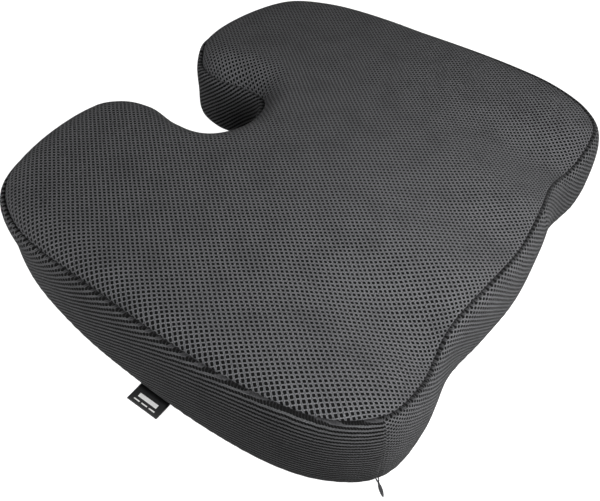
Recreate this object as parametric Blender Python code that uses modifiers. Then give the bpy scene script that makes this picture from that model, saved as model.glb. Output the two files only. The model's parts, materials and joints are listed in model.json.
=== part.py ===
"""Seat cushion with a rear cut-out: cover panels, foam core, zip and label.

Units are metres.  +X is across the width, -Y is the front edge, +Y the rear
with the cut-out, +Z is up.  The flat underside is z = 0 and the origin is in
the middle of it.
"""
import math

import bmesh
import bpy
from mathutils import Matrix, Vector

MM = 0.001

# ---------------------------------------------------------------- outline
# One half of the plan outline, front centre to the end of the cut-out.
HALF_OUTLINE = [
    (0.0, -186.7), (47.0, -183.0), (93.0, -177.4), (141.0, -183.6),
    (178.6, -179.2), (202.6, -156.0), (216.8, -119.6), (223.0, -65.8),
    (223.0, -2.0), (218.6, 60.6), (205.6, 123.5), (182.6, 163.8),
    (141.0, 182.2), (88.5, 186.8), (49.7, 174.4), (37.2, 144.4),
    (41.0, 111.6), (34.2, 86.4), (0.0, 75.7),
]
SAMPLES_PER_SPAN = 24

# Corners of the four-sided lobe-to-lobe strip, on the right-hand lobe.
INNER_CORNER = (49.0, 170.0)
OUTER_CORNER = (196.0, 146.0)
HALF_STATIONS = 19
STATION_BIAS = 0.92
ACROSS = [0.0, 0.035, 0.09, 0.17, 0.29, 0.5, 0.71, 0.83, 0.91, 0.965, 1.0]
END_FADE = 0.16
CORNER_BLOCK = 4
CORNER_SWEEPS = 12

# ---------------------------------------------------------------- heights
CROWN_REAR = 83.4
CROWN_FRONT = 74.2
THIGH_X = 112.0
THIGH_WIDTH = 44.0
THIGH_DEPTH = 18.5
THIGH_LENGTH = 150.0
CENTRE_WIDTH = 40.0
CENTRE_DROP = 8.0
HOLLOW_Y = 75.0
HOLLOW_WIDTH = 45.0
HOLLOW_DEPTH = 5.0
SHOULDER_REACH = 26.0
SHOULDER_POWER = 0.55

SEAM_SIDE = 71.0
SEAM_REAR = 65.8
SEAM_CUTOUT = 57.0
SEAM_CORNER = 68.7
SEAM_CHANNEL = 54.0
SEAM_CENTRE = 64.0

# How much further in the seams sit than on an upright wall, by zone of the
# outline: front edge, sides, rear of the lobes, cut-out.
TOP_SEAM_SHIFT = (3.2, 1.7, -5.5, -2.4)
BASE_SEAM_SHIFT = (-0.4, 0.5, 0.6, -1.5)
TOP_SHIFT_DEPTH = 22.0
BASE_SHIFT_HEIGHT = 30.0

# ---------------------------------------------------------------- section
TOP_SEAM_INSET = 4.0
BASE_SEAM_INSET = 5.2
BASE_SEAM_Z = 4.6
SEAM_HALF_GAP = 0.75
SEAM_FACET = 2.3
DIAGONAL = math.sqrt(0.5)
FABRIC = 3.0
BASE_FABRIC = 1.6
FOAM_DEPTH = 3.6
FOAM_FLOOR = 2.1
BASE_RINGS = [(9.0, 1.0), (14.0, 0.0)]
THREAD_RADIUS = 0.38
THREAD_DEPTH = 0.35

# ---------------------------------------------------------------- joins
JOIN_CORNER = (-184.5, -176.0)
JOIN_BUMP = (47.0, -183.0)
JOIN_HALF_GAP = 0.7
JOIN_FACET = 1.6
JOIN_THREAD_DEPTH = 0.9
JOIN_THREAD_RADIUS = 0.4

# ---------------------------------------------------------------- zip
ZIP_Y = -160.0
SLOT_HALF = 6.0
SLOT_END = 183.0
CHANNEL_FLAT = 11.5
CHANNEL_RAMP = 8.0
CHANNEL_Z = 3.8
CUTTER_REACH = 420.0
CUTTER_SIDE = 260.0
CUTTER_HALF_HEIGHT = 20.0
TOPSTITCH_OFFSET = 2.0
TOPSTITCH_DEPTH = 0.32
TOPSTITCH_RADIUS = 0.25
TOPSTITCH_X = (-178.0, -60.0, 60.0, 178.0)
FOAM_CHANNEL_FLAT = 12.5
FOAM_CHANNEL_RISE = 6.0
PANEL_GAP = 0.2
TAPE_INNER = 0.55
TAPE_OUTER = 10.5
TAPE_Z = 5.75
TAPE_THICK = 0.5
TAPE_END = 181.5
TAPE_CHAMFER = 6.5
COIL_INNER = 0.55
COIL_OUTER = 2.7
COIL_LOW = 4.15
COIL_HIGH = 5.6
COIL_END = 178.5
ZIP_ROUNDING = 0.4
STOP_START = 178.9
STOP_LENGTH = 2.4
STOP_HALF_WIDTH = 2.9
STOP_LOW = 3.7
STOP_HIGH = 5.6
SLIDER_X = -168.0
SLIDER_HALF_LONG = 5.8
SLIDER_HALF_WIDE = 4.2
OUTER_PLATE = (2.85, 3.85)
INNER_PLATE = (6.5, 7.3)
SLIDER_NECK_X = (2.6, 5.4)
SLIDER_NECK_HALF = 0.35
SLIDER_NECK_Z = (3.6, 6.7)
BRIDGE_HALF_WIDE = 0.7
BRIDGE_HALF_LONG = 2.6
BRIDGE_POST_X = (1.9, 2.7)
BRIDGE_TOP = 3.0
BRIDGE_LOW = 0.45
BRIDGE_INSIDE = 1.15
PULL_YAW = math.radians(229.5)
PULL_LENGTH = 33.5
PULL_DROP = math.radians(2.2)
HINGE_Z = 2.0
PULL_HALF_THICK = 0.45
PULL_EDGE = [(-0.45, -3.6), (1.2, -3.75), (4.0, -3.6), (22.0, -1.15), (24.2, -0.75),
             (26.5, -1.35), (30.0, -1.25), (32.8, -0.55), (PULL_LENGTH, 0.0)]
PULL_WINDOW = [(0.45, -2.85), (3.8, -2.8), (20.6, -0.45)]
PULL_CUTTER_HALF = 2.0

# ---------------------------------------------------------------- label
LABEL_Y = -19.0
LABEL_WIDTH = 27.5
LABEL_REACH = 12.0
LABEL_THICK = 0.4
LABEL_SECTION = [(2.5, 2.6), (-2.0, 2.05), (0.9 - LABEL_REACH, 1.75), (-LABEL_REACH, 1.2),
                 (0.9 - LABEL_REACH, 0.65), (-2.0, 0.75), (2.7, 1.25)]

PART_COLLECTION = "seat_cushion"
CUTTER_COLLECTION = "cutters"


def clear_scene():
    for old in list(bpy.data.objects):
        bpy.data.objects.remove(old, do_unlink=True)


def place_in(collection_name, obj):
    """Link the object to the named collection, made on first use."""
    group = bpy.data.collections.get(collection_name)
    if group is None:
        group = bpy.data.collections.new(collection_name)
        bpy.context.scene.collection.children.link(group)
    group.objects.link(obj)


def material(name, rgb, rough, metallic=0.0):
    mat = bpy.data.materials.new(name)
    mat.use_nodes = True
    shader = mat.node_tree.nodes["Principled BSDF"]
    shader.inputs["Base Color"].default_value = (rgb[0], rgb[1], rgb[2], 1.0)
    shader.inputs["Roughness"].default_value = rough
    shader.inputs["Metallic"].default_value = metallic
    mat.diffuse_color = (rgb[0], rgb[1], rgb[2], 1.0)
    return mat


def node(name, mesh, mat):
    obj = bpy.data.objects.new(name, mesh)
    place_in(PART_COLLECTION, obj)
    mesh.materials.clear()
    mesh.materials.append(mat)
    return obj


def helper(name, mesh):
    """Cutter or tool body for a Boolean; it isn't part of the object."""
    obj = bpy.data.objects.new(name, mesh)
    place_in(CUTTER_COLLECTION, obj)
    obj.hide_render = True
    obj.display_type = "WIRE"
    return obj


def set_origin(obj, at):
    """Move the object's origin to a point, with the mesh left in its place."""
    point = Vector(at) * MM
    obj.data.transform(Matrix.Translation(-point))
    obj.location = point


def mesh_from(name, verts, faces):
    mesh = bpy.data.meshes.new(name)
    mesh.from_pydata([tuple(c * MM for c in v) for v in verts], [], faces)
    mesh.update()
    return mesh


# ---------------------------------------------------------------- plan curve
def closed_outline():
    half = list(HALF_OUTLINE)
    mirrored = [(-x, y) for x, y in reversed(half[1:-1])]
    pts = half + mirrored
    count = len(pts)
    curve = []
    for i in range(count):
        p0 = Vector(pts[i - 1])
        p1 = Vector(pts[i])
        p2 = Vector(pts[(i + 1) % count])
        p3 = Vector(pts[(i + 2) % count])
        for k in range(SAMPLES_PER_SPAN):
            t = k / SAMPLES_PER_SPAN
            a = 2.0 * p1
            b = (p2 - p0) * t
            c = (2.0 * p0 - 5.0 * p1 + 4.0 * p2 - p3) * t * t
            d = (3.0 * p1 - p0 - 3.0 * p2 + p3) * t * t * t
            curve.append((a + b + c + d) * 0.5)
    return curve


OUTLINE = closed_outline()
COUNT = len(OUTLINE)


def outline_normal(i):
    """Outward direction in plan; the curve runs anticlockwise."""
    run = OUTLINE[(i + 1) % COUNT] - OUTLINE[i - 1]
    run.normalize()
    return Vector((run.y, -run.x))


NORMALS = [outline_normal(i) for i in range(COUNT)]
LENGTHS = [0.0]
for _i in range(COUNT):
    LENGTHS.append(LENGTHS[-1] + (OUTLINE[(_i + 1) % COUNT] - OUTLINE[_i]).length)
TOTAL = LENGTHS[-1]


def nearest_index(point):
    target = Vector(point)
    return min(range(COUNT), key=lambda i: (OUTLINE[i] - target).length_squared)


def at_length(s):
    """Outline point and outward normal at arc length s."""
    s = s % TOTAL
    low = 0
    high = COUNT
    while high - low > 1:
        mid = (low + high) // 2
        if LENGTHS[mid] <= s:
            low = mid
        else:
            high = mid
    span = LENGTHS[low + 1] - LENGTHS[low]
    t = (s - LENGTHS[low]) / span
    a = OUTLINE[low]
    b = OUTLINE[(low + 1) % COUNT]
    na = NORMALS[low]
    nb = NORMALS[(low + 1) % COUNT]
    return a.lerp(b, t), na.lerp(nb, t).normalized()


def edge_distance(x, y):
    """Distance to the outline and the nearest outline point."""
    point = Vector((x, y))
    best = min(range(0, COUNT, 2), key=lambda i: (OUTLINE[i] - point).length_squared)
    found = OUTLINE[best]
    for i in (best - 2, best - 1, best, best + 1):
        a = OUTLINE[i % COUNT]
        b = OUTLINE[(i + 1) % COUNT]
        run = b - a
        t = max(0.0, min(1.0, (point - a).dot(run) / run.length_squared))
        q = a + run * t
        if (q - point).length < (found - point).length:
            found = q
    return (found - point).length, found


# ---------------------------------------------------------------- heights
def smooth(t):
    t = max(0.0, min(1.0, t))
    return t * t * (3.0 - 2.0 * t)


def bell(value, centre, width):
    return math.exp(-((value - centre) / width) ** 2)


def front_weight(y, length):
    return smooth((-y - 189.0 + length) / length)


def crown(x, y):
    """Height of the upholstered top away from its edge."""
    z = CROWN_FRONT + (CROWN_REAR - CROWN_FRONT) * smooth((y + 150.0) / 260.0)
    near = front_weight(y, THIGH_LENGTH)
    z -= THIGH_DEPTH * bell(abs(x), THIGH_X, THIGH_WIDTH) * near
    z -= CENTRE_DROP * bell(x, 0.0, CENTRE_WIDTH) * near
    # slight hollow round the end of the cut-out
    z -= HOLLOW_DEPTH * bell(math.hypot(x, y - HOLLOW_Y), 0.0, HOLLOW_WIDTH)
    return z


def seam_height(q):
    """Height of the top seam above the floor at an outline point."""
    x = abs(q.x)
    y = q.y
    z = SEAM_SIDE
    rear = smooth((y - 40.0) / 110.0) * smooth((x - 44.0) / 30.0)
    z += (SEAM_REAR - SEAM_SIDE) * rear
    inside = smooth((y - 40.0) / 30.0) * (1.0 - smooth((x - 44.0) / 30.0))
    z += (SEAM_CUTOUT - SEAM_SIDE) * inside
    front = smooth((-y - 100.0) / 70.0)
    z += (SEAM_CORNER - SEAM_SIDE) * front
    edge = smooth((-y - 165.0) / 16.0)
    z -= (SEAM_CORNER - SEAM_CHANNEL) * edge * bell(x, THIGH_X, THIGH_WIDTH)
    z -= (SEAM_CORNER - SEAM_CENTRE) * edge * bell(x, 0.0, CENTRE_WIDTH)
    return z


def zone_weights(q):
    """Shares of front edge, side, rear of the lobes and cut-out."""
    x = abs(q.x)
    y = q.y
    front = smooth((-y - 150.0) / 25.0)
    cutout = smooth((y - 40.0) / 30.0) * (1.0 - smooth((x - 44.0) / 30.0))
    rear = smooth((y - 20.0) / 110.0) * smooth((x - 44.0) / 30.0)
    side = max(0.0, 1.0 - front - cutout - rear)
    return front, side, rear, cutout


def top_shift(q, drop=0.0):
    """Extra inset of the wall at a drop below the top seam."""
    full = sum(w * v for w, v in zip(zone_weights(q), TOP_SEAM_SHIFT))
    return full * max(0.0, 1.0 - drop / TOP_SHIFT_DEPTH)


def base_shift(q, z=0.0):
    """Extra inset of the wall at a height above the floor."""
    full = sum(w * v for w, v in zip(zone_weights(q), BASE_SEAM_SHIFT))
    return full * max(0.0, 1.0 - z / BASE_SHIFT_HEIGHT)


def facet_start(q):
    return seam_height(q) + SEAM_FACET * DIAGONAL


def top_height(x, y, depth=0.0):
    """Height of the top, or of a layer at the given depth under it."""
    d, q = edge_distance(x, y)
    start = TOP_SEAM_INSET + SEAM_FACET * DIAGONAL + depth
    t = max(0.0, min(1.0, (d - top_shift(q) - start) / SHOULDER_REACH))
    rise = (1.0 - (1.0 - t) ** 2) ** SHOULDER_POWER
    low = facet_start(q)
    return low + (crown(x, y) - low) * rise - depth


# ---------------------------------------------------------------- stations
def strip_columns():
    """Arc lengths of the shared columns, in order round the outline.

    Right half of the outer edge, right lobe end, cut-out, left lobe end and
    the left half of the outer edge.
    """
    out_r = LENGTHS[nearest_index(OUTER_CORNER)]
    in_r = LENGTHS[nearest_index(INNER_CORNER)]
    in_l = TOTAL - in_r
    out_l = TOTAL - out_r
    n = 2 * HALF_STATIONS
    pos = []
    for i in range(n + 1):
        t = i / n
        w = t * 2.0 if t < 0.5 else (1.0 - t) * 2.0
        w = w ** STATION_BIAS
        pos.append(w * 0.5 if t < 0.5 else 1.0 - w * 0.5)
    inner = [in_r + (in_l - in_r) * t for t in pos]
    outer = [out_r - (out_r - (out_l - TOTAL)) * t for t in pos]
    end_r = [in_r + (out_r - in_r) * v for v in ACROSS]
    end_l = [in_l + (out_l - in_l) * v for v in ACROSS]
    return inner, outer, end_r, end_l, pos


def plan_point(s, inset, shift):
    p, n = at_length(s)
    return p - n * (inset + shift(p))


def strip_grid(inset, shift):
    """Plan grid of the strip: rows run lobe to lobe, columns across."""
    inner, outer, end_r, end_l, pos = strip_columns()
    last = len(pos) - 1
    grid = []
    a0 = plan_point(inner[0], inset, shift)
    b0 = plan_point(outer[0], inset, shift)
    a1 = plan_point(inner[last], inset, shift)
    b1 = plan_point(outer[last], inset, shift)
    for i in range(last + 1):
        row = []
        u = pos[i]
        f0 = max(0.0, 1.0 - u / END_FADE) ** 2
        f1 = max(0.0, 1.0 - (1.0 - u) / END_FADE) ** 2
        a = plan_point(inner[i], inset, shift)
        b = plan_point(outer[i], inset, shift)
        for j, v in enumerate(ACROSS):
            p = a.lerp(b, v)
            p += (plan_point(end_r[j], inset, shift) - a0.lerp(b0, v)) * f0
            p += (plan_point(end_l[j], inset, shift) - a1.lerp(b1, v)) * f1
            row.append(p)
        grid.append(row)
    ease_corners(grid)
    return grid


def ease_corners(grid):
    """Even out the strip's corners, where its two edges run nearly in line."""
    rows = len(grid)
    cols = len(grid[0])
    near_i = list(range(1, CORNER_BLOCK)) + list(range(rows - CORNER_BLOCK, rows - 1))
    near_j = list(range(1, CORNER_BLOCK)) + list(range(cols - CORNER_BLOCK, cols - 1))
    for _ in range(CORNER_SWEEPS):
        for i in near_i:
            for j in near_j:
                around = grid[i - 1][j] + grid[i + 1][j] + grid[i][j - 1] + grid[i][j + 1]
                grid[i][j] = around * 0.25


def border(rows, cols):
    """Grid positions of the boundary, in step with border_lengths()."""
    loop = [(i, cols - 1) for i in range(rows)]
    loop += [(rows - 1, j) for j in range(cols - 2, -1, -1)]
    loop += [(i, 0) for i in range(rows - 2, -1, -1)]
    loop += [(0, j) for j in range(1, cols - 1)]
    return loop


def border_lengths():
    inner, outer, end_r, end_l, pos = strip_columns()
    last = len(pos) - 1
    wide = len(ACROSS)
    loop = [outer[i] for i in range(last + 1)]
    loop += [end_l[j] for j in range(wide - 2, -1, -1)]
    loop += [inner[i] for i in range(last - 1, -1, -1)]
    loop += [end_r[j] for j in range(1, wide - 1)]
    return loop


COLUMNS = border_lengths()
RING = len(COLUMNS)


# ---------------------------------------------------------------- sections
def seam_centre(s):
    p, n = at_length(s)
    return p, n, seam_height(p)


def top_edge_point(s, along, depth=0.0):
    """Point on the diagonal facet at the top seam, along > 0 down the band."""
    p, n, z = seam_centre(s)
    shift = along * DIAGONAL
    q = p - n * (TOP_SEAM_INSET + top_shift(p) - shift + depth)
    return (q.x, q.y, z - shift - depth)


def base_edge_point(s, along, depth=0.0, floor=0.0):
    """Point on the diagonal facet at the base seam, along > 0 up the band."""
    p, n = at_length(s)
    shift = along * DIAGONAL
    z = BASE_SEAM_Z + shift
    q = p - n * (BASE_SEAM_INSET + base_shift(p, z) - shift + depth)
    return (q.x, q.y, z + floor)


def side_point(s, inset, z):
    p, n = at_length(s)
    drop = seam_height(p) - z
    q = p - n * (inset + top_shift(p, drop) + base_shift(p, z))
    return (q.x, q.y, z)


def side_column(s, depth=0.0):
    """Side wall from the top seam facet down to the base seam facet."""
    top = seam_height(at_length(s)[0]) - depth
    low = BASE_SEAM_Z
    column = [top_edge_point(s, SEAM_FACET, depth)]
    column.append(side_point(s, depth + 1.0, top - 7.0))
    column.append(side_point(s, depth, top - 18.0))
    column.append(side_point(s, depth + 0.2, low + 12.0))
    column.append(side_point(s, depth * 1.3 + 1.6, low + 5.0))
    return column


def band_column(s):
    column = [top_edge_point(s, SEAM_HALF_GAP)] + side_column(s)
    column.append(base_edge_point(s, SEAM_FACET))
    column.append(base_edge_point(s, SEAM_HALF_GAP))
    return column


def channel(y, flat, height):
    """Lift of the underside at the zip; the strip in front of it stays up."""
    away = y - ZIP_Y
    return height * max(0.0, min(1.0, 1.0 - (away - flat) / CHANNEL_RAMP))


# ---------------------------------------------------------------- surfaces
def grid_faces(rows, cols, start=0):
    faces = []
    for i in range(rows - 1):
        for j in range(cols - 1):
            a = start + i * cols + j
            faces.append((a, a + cols, a + cols + 1, a + 1))
    return faces


def loop_faces(upper, lower):
    faces = []
    for k in range(len(upper)):
        m = (k + 1) % len(upper)
        faces.append((upper[k], lower[k], lower[m], upper[m]))
    return faces


def recalc(mesh):
    bm = bmesh.new()
    bm.from_mesh(mesh)
    bmesh.ops.recalc_face_normals(bm, faces=bm.faces)
    bm.to_mesh(mesh)
    bm.free()
    mesh.update()


def face_up(mesh, up):
    """Turn an open sheet so that its normals point up or down overall."""
    bm = bmesh.new()
    bm.from_mesh(mesh)
    bmesh.ops.recalc_face_normals(bm, faces=bm.faces)
    total = sum(f.normal.z * f.calc_area() for f in bm.faces)
    if (total > 0.0) != up:
        bmesh.ops.reverse_faces(bm, faces=bm.faces)
    bm.to_mesh(mesh)
    bm.free()
    mesh.update()


def grid_triangles(rows, cols):
    """Grid of triangles whose diagonals run towards the four corners."""
    faces = []
    for i in range(rows - 1):
        for j in range(cols - 1):
            a = i * cols + j
            b = a + cols
            if (i < (rows - 1) // 2) == (j < (cols - 1) // 2):
                faces += [(a, b, b + 1), (a, b + 1, a + 1)]
            else:
                faces += [(a, b, a + 1), (b, b + 1, a + 1)]
    return faces


def top_surface(depth=0.0):
    inset = TOP_SEAM_INSET + SEAM_FACET * DIAGONAL + depth
    grid = strip_grid(inset, top_shift)
    rows = len(grid)
    cols = len(ACROSS)
    edge = {}
    for (i, j), s in zip(border(rows, cols), COLUMNS):
        edge[(i, j)] = s
    verts = []
    for i in range(rows):
        for j in range(cols):
            p = grid[i][j]
            if (i, j) in edge:
                verts.append(top_edge_point(edge[(i, j)], -SEAM_FACET, depth))
            else:
                verts.append((p.x, p.y, top_height(p.x, p.y, depth)))
    faces = grid_triangles(rows, cols)
    ring = [i * cols + j for i, j in border(rows, cols)]
    return verts, faces, ring


def base_surface(depth=0.0, floor=0.0):
    """Flat underside with its rolled edge, up to the base seam facet."""
    flat_inset = BASE_RINGS[-1][0] + depth
    grid = strip_grid(flat_inset, base_shift)
    rows = len(grid)
    cols = len(ACROSS)
    verts = []
    for i in range(rows):
        for j in range(cols):
            verts.append((grid[i][j].x, grid[i][j].y, floor))
    faces = grid_faces(rows, cols)
    ring = [i * cols + j for i, j in border(rows, cols)]
    for inset, z in reversed(BASE_RINGS[:-1]):
        fresh = []
        for s in COLUMNS:
            fresh.append(len(verts))
            verts.append(side_point(s, inset + depth, z + floor))
        faces += loop_faces(ring, fresh)
        ring = fresh
    return verts, faces, ring


def add_ring(verts, faces, ring, points):
    fresh = []
    for p in points:
        fresh.append(len(verts))
        verts.append(p)
    faces += loop_faces(ring, fresh)
    return fresh


def cut_rows(mesh, places):
    """Extra edge lines across the sheet at the given y positions."""
    bm = bmesh.new()
    bm.from_mesh(mesh)
    for y in places:
        geom = list(bm.verts) + list(bm.edges) + list(bm.faces)
        origin = Vector((0.0, y * MM, 0.0))
        bmesh.ops.bisect_plane(
            bm, geom=geom, dist=1e-6, plane_co=origin, plane_no=(0.0, 1.0, 0.0))
    bm.to_mesh(mesh)
    bm.free()
    mesh.update()


def merge_flat(mesh):
    """Join the faces of the flat underside into large ones."""
    bm = bmesh.new()
    bm.from_mesh(mesh)
    flat = [v for v in bm.verts if abs(v.co.z) < 1e-7 and not v.is_boundary]
    edges = [e for e in bm.edges if abs(e.verts[0].co.z) < 1e-7 and abs(e.verts[1].co.z) < 1e-7]
    bmesh.ops.dissolve_limit(
        bm, angle_limit=math.radians(0.05), use_dissolve_boundaries=False,
        verts=flat, edges=edges, delimit=set())
    bm.to_mesh(mesh)
    bm.free()
    mesh.update()


def channel_rows(flat):
    return [ZIP_Y + flat, ZIP_Y + flat + CHANNEL_RAMP]


def solidify(obj, thickness):
    mod = obj.modifiers.new("thickness", "SOLIDIFY")
    mod.thickness = thickness * MM
    mod.offset = -1.0
    mod.use_even_offset = True
    mod.use_rim = True
    return mod


def make_top_panel(mat):
    verts, faces, ring = top_surface()
    add_ring(verts, faces, ring, [top_edge_point(s, -SEAM_HALF_GAP) for s in COLUMNS])
    mesh = mesh_from("top_panel", verts, faces)
    face_up(mesh, True)
    obj = node("top_panel", mesh, mat)
    solidify(obj, FABRIC)
    return obj


def base_sheet(name):
    verts, faces, ring = base_surface()
    ring = add_ring(verts, faces, ring, [base_edge_point(s, -SEAM_FACET) for s in COLUMNS])
    add_ring(verts, faces, ring, [base_edge_point(s, -SEAM_HALF_GAP) for s in COLUMNS])
    mesh = mesh_from(name, verts, faces)
    cut_rows(mesh, channel_rows(CHANNEL_FLAT))
    for v in mesh.vertices:
        z = channel(v.co.y / MM, CHANNEL_FLAT, CHANNEL_Z) * MM
        v.co.z = max(v.co.z, z)
    face_up(mesh, False)
    merge_flat(mesh)
    return mesh


def slot_cutter(name, keep_front):
    """Prism that removes everything except one side of the zip opening."""
    side = -1.0 if keep_front else 1.0
    near = ZIP_Y + side * PANEL_GAP
    slot = ZIP_Y + side * SLOT_HALF
    far = ZIP_Y - side * CUTTER_REACH
    outer = CUTTER_SIDE
    plan = [(-outer, near), (-SLOT_END, near), (-SLOT_END, slot), (SLOT_END, slot),
            (SLOT_END, near), (outer, near), (outer, far), (-outer, far)]
    return helper(name, prism(name, plan, -CUTTER_HALF_HEIGHT, CUTTER_HALF_HEIGHT, (0.0, 0.0)))


def make_base_panel(name, keep_front, mat):
    obj = node(name, base_sheet(name), mat)
    solidify(obj, BASE_FABRIC)
    cut = obj.modifiers.new("zip_opening", "BOOLEAN")
    cut.operation = "DIFFERENCE"
    cut.solver = "EXACT"
    cut.object = slot_cutter("cut_" + name, keep_front)
    return obj


def lerp3(a, b, t):
    return tuple(a[k] + (b[k] - a[k]) * t for k in range(3))


def band_section(s):
    """Band column at any arc length, on the chord between shared columns."""
    order = sorted(c % TOTAL for c in COLUMNS)
    s = s % TOTAL
    low = order[-1] - TOTAL
    high = order[0]
    for k in range(len(order)):
        if order[k] <= s:
            low = order[k]
            high = order[k + 1] if k + 1 < len(order) else order[0] + TOTAL
    t = (s - low) / (high - low)
    a = band_column(low)
    b = band_column(high)
    return [lerp3(p, q, t) for p, q in zip(a, b)]


def band_strip(name, start, stop, mat):
    """Band from arc length start forward to stop."""
    length = (stop - start) % TOTAL
    inside = sorted((c - start) % TOTAL for c in COLUMNS)
    marks = [0.0, JOIN_FACET]
    marks += [m for m in inside if JOIN_FACET + 1.0 < m < length - JOIN_FACET - 1.0]
    marks += [length - JOIN_FACET, length]
    verts = []
    for m in marks:
        verts += band_section(start + m)
    deep = len(band_column(0.0))
    mesh = mesh_from(name, verts, grid_faces(len(marks), deep))
    bm = bmesh.new()
    bm.from_mesh(mesh)
    bmesh.ops.recalc_face_normals(bm, faces=bm.faces)
    bm.faces.ensure_lookup_table()
    face = bm.faces[3]
    n = at_length(start + marks[1] * 0.5)[1]
    if face.normal.x * n.x + face.normal.y * n.y < 0.0:
        bmesh.ops.reverse_faces(bm, faces=bm.faces)
    bm.to_mesh(mesh)
    bm.free()
    obj = node(name, mesh, mat)
    solidify(obj, FABRIC)
    return obj


def make_foam(mat):
    verts, faces, ring = top_surface(FOAM_DEPTH)
    columns = [side_column(s, FOAM_DEPTH) for s in COLUMNS]
    for k in range(len(columns[0])):
        ring = add_ring(verts, faces, ring, [c[k] for c in columns])
    low, low_faces, low_ring = base_surface(FOAM_DEPTH, FOAM_FLOOR)
    start = len(verts)
    verts += low
    faces += [tuple(start + i for i in f) for f in low_faces]
    facets = [base_edge_point(s, SEAM_FACET, FOAM_DEPTH, FOAM_FLOOR) for s in COLUMNS]
    ring = add_ring(verts, faces, ring, facets)
    faces += loop_faces(ring, [start + i for i in low_ring])
    mesh = mesh_from("foam_core", verts, faces)
    recalc(mesh)
    cut_rows(mesh, channel_rows(FOAM_CHANNEL_FLAT))
    for v in mesh.vertices:
        if v.co.z < 20.0 * MM:
            rise = channel(v.co.y / MM, FOAM_CHANNEL_FLAT, FOAM_CHANNEL_RISE)
            v.co.z = max(v.co.z, (FOAM_FLOOR + rise) * MM)
    recalc(mesh)
    return node("foam_core", mesh, mat)


# ---------------------------------------------------------------- threads
def tube(name, points, closed, radius, mat, sides=0):
    data = bpy.data.curves.new(name, "CURVE")
    data.dimensions = "3D"
    data.bevel_depth = radius * MM
    data.bevel_resolution = sides
    data.use_fill_caps = True
    line = data.splines.new("POLY")
    line.points.add(len(points) - 1)
    for k, p in enumerate(points):
        line.points[k].co = (p[0] * MM, p[1] * MM, p[2] * MM, 1.0)
    line.use_cyclic_u = closed
    temp = bpy.data.objects.new("temp_" + name, data)
    bpy.context.scene.collection.objects.link(temp)
    bpy.context.view_layer.update()
    mesh = bpy.data.meshes.new_from_object(temp)
    bpy.data.objects.remove(temp, do_unlink=True)
    mesh.name = name
    bm = bmesh.new()
    bm.from_mesh(mesh)
    bmesh.ops.remove_doubles(bm, verts=bm.verts, dist=1e-7)
    bmesh.ops.recalc_face_normals(bm, faces=bm.faces)
    for face in bm.faces:
        face.smooth = len(face.verts) == 4
    bm.to_mesh(mesh)
    bm.free()
    return node(name, mesh, mat)


def make_top_thread(mat):
    pts = []
    for s in COLUMNS:
        p, n, z = seam_centre(s)
        deep = THREAD_DEPTH * DIAGONAL
        q = p - n * (TOP_SEAM_INSET + top_shift(p) + deep)
        pts.append((q.x, q.y, z - deep))
    return tube("top_seam_thread", pts, True, THREAD_RADIUS, mat)


def make_base_thread(mat):
    pts = []
    for s in COLUMNS:
        p, n = at_length(s)
        deep = THREAD_DEPTH * DIAGONAL
        q = p - n * (BASE_SEAM_INSET + base_shift(p, BASE_SEAM_Z) + deep)
        pts.append((q.x, q.y, BASE_SEAM_Z + deep))
    return tube("base_seam_thread", pts, True, THREAD_RADIUS, mat)


def make_join_thread(name, s, mat):
    column = band_section(s)
    n = at_length(s)[1]
    inward = n * -JOIN_THREAD_DEPTH
    pts = []
    for q in column[1:-1]:
        pts.append((q[0] + inward.x, q[1] + inward.y, q[2]))
    return tube(name, pts, False, JOIN_THREAD_RADIUS, mat)


def make_topstitch(name, side, mat):
    y = ZIP_Y + side * (SLOT_HALF + TOPSTITCH_OFFSET)
    z = CHANNEL_Z - TOPSTITCH_DEPTH
    pts = [(x, y, z) for x in TOPSTITCH_X]
    return tube(name, pts, False, TOPSTITCH_RADIUS, mat)


# ---------------------------------------------------------------- zip parts
def box_mesh(name, x0, x1, y0, y1, z0, z1):
    mesh = bpy.data.meshes.new(name)
    bm = bmesh.new()
    bmesh.ops.create_cube(bm, size=1.0)
    size = Vector(((x1 - x0) * MM, (y1 - y0) * MM, (z1 - z0) * MM))
    mid = Vector(((x0 + x1) * 0.5 * MM, (y0 + y1) * 0.5 * MM, (z0 + z1) * 0.5 * MM))
    for v in bm.verts:
        v.co = Vector((v.co.x * size.x, v.co.y * size.y, v.co.z * size.z)) + mid
    bm.to_mesh(mesh)
    bm.free()
    return mesh


def round_edges(obj, segments):
    edge = obj.modifiers.new("round", "BEVEL")
    edge.width = ZIP_ROUNDING * MM
    edge.segments = segments


def make_tape(name, side, mat):
    inner = side * TAPE_INNER
    outer = side * TAPE_OUTER
    corner = side * (TAPE_OUTER - TAPE_CHAMFER)
    short = TAPE_END - TAPE_CHAMFER
    plan = [(-TAPE_END, inner), (TAPE_END, inner), (TAPE_END, corner),
            (short, outer), (-short, outer), (-TAPE_END, corner)]
    mesh = prism(name, plan, TAPE_Z, TAPE_Z + TAPE_THICK, (0.0, ZIP_Y))
    return node(name, mesh, mat)


def make_coil(name, side, mat):
    ys = sorted((ZIP_Y + side * COIL_INNER, ZIP_Y + side * COIL_OUTER))
    mesh = box_mesh(name, -COIL_END, COIL_END, ys[0], ys[1], COIL_LOW, COIL_HIGH)
    obj = node(name, mesh, mat)
    round_edges(obj, 1)
    return obj


def make_stop(name, side, mat):
    xs = sorted((side * STOP_START, side * (STOP_START + STOP_LENGTH)))
    near = ZIP_Y - STOP_HALF_WIDTH
    far = ZIP_Y + STOP_HALF_WIDTH
    mesh = box_mesh(name, xs[0], xs[1], near, far, STOP_LOW, STOP_HIGH)
    obj = node(name, mesh, mat)
    round_edges(obj, 2)
    return obj


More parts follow.
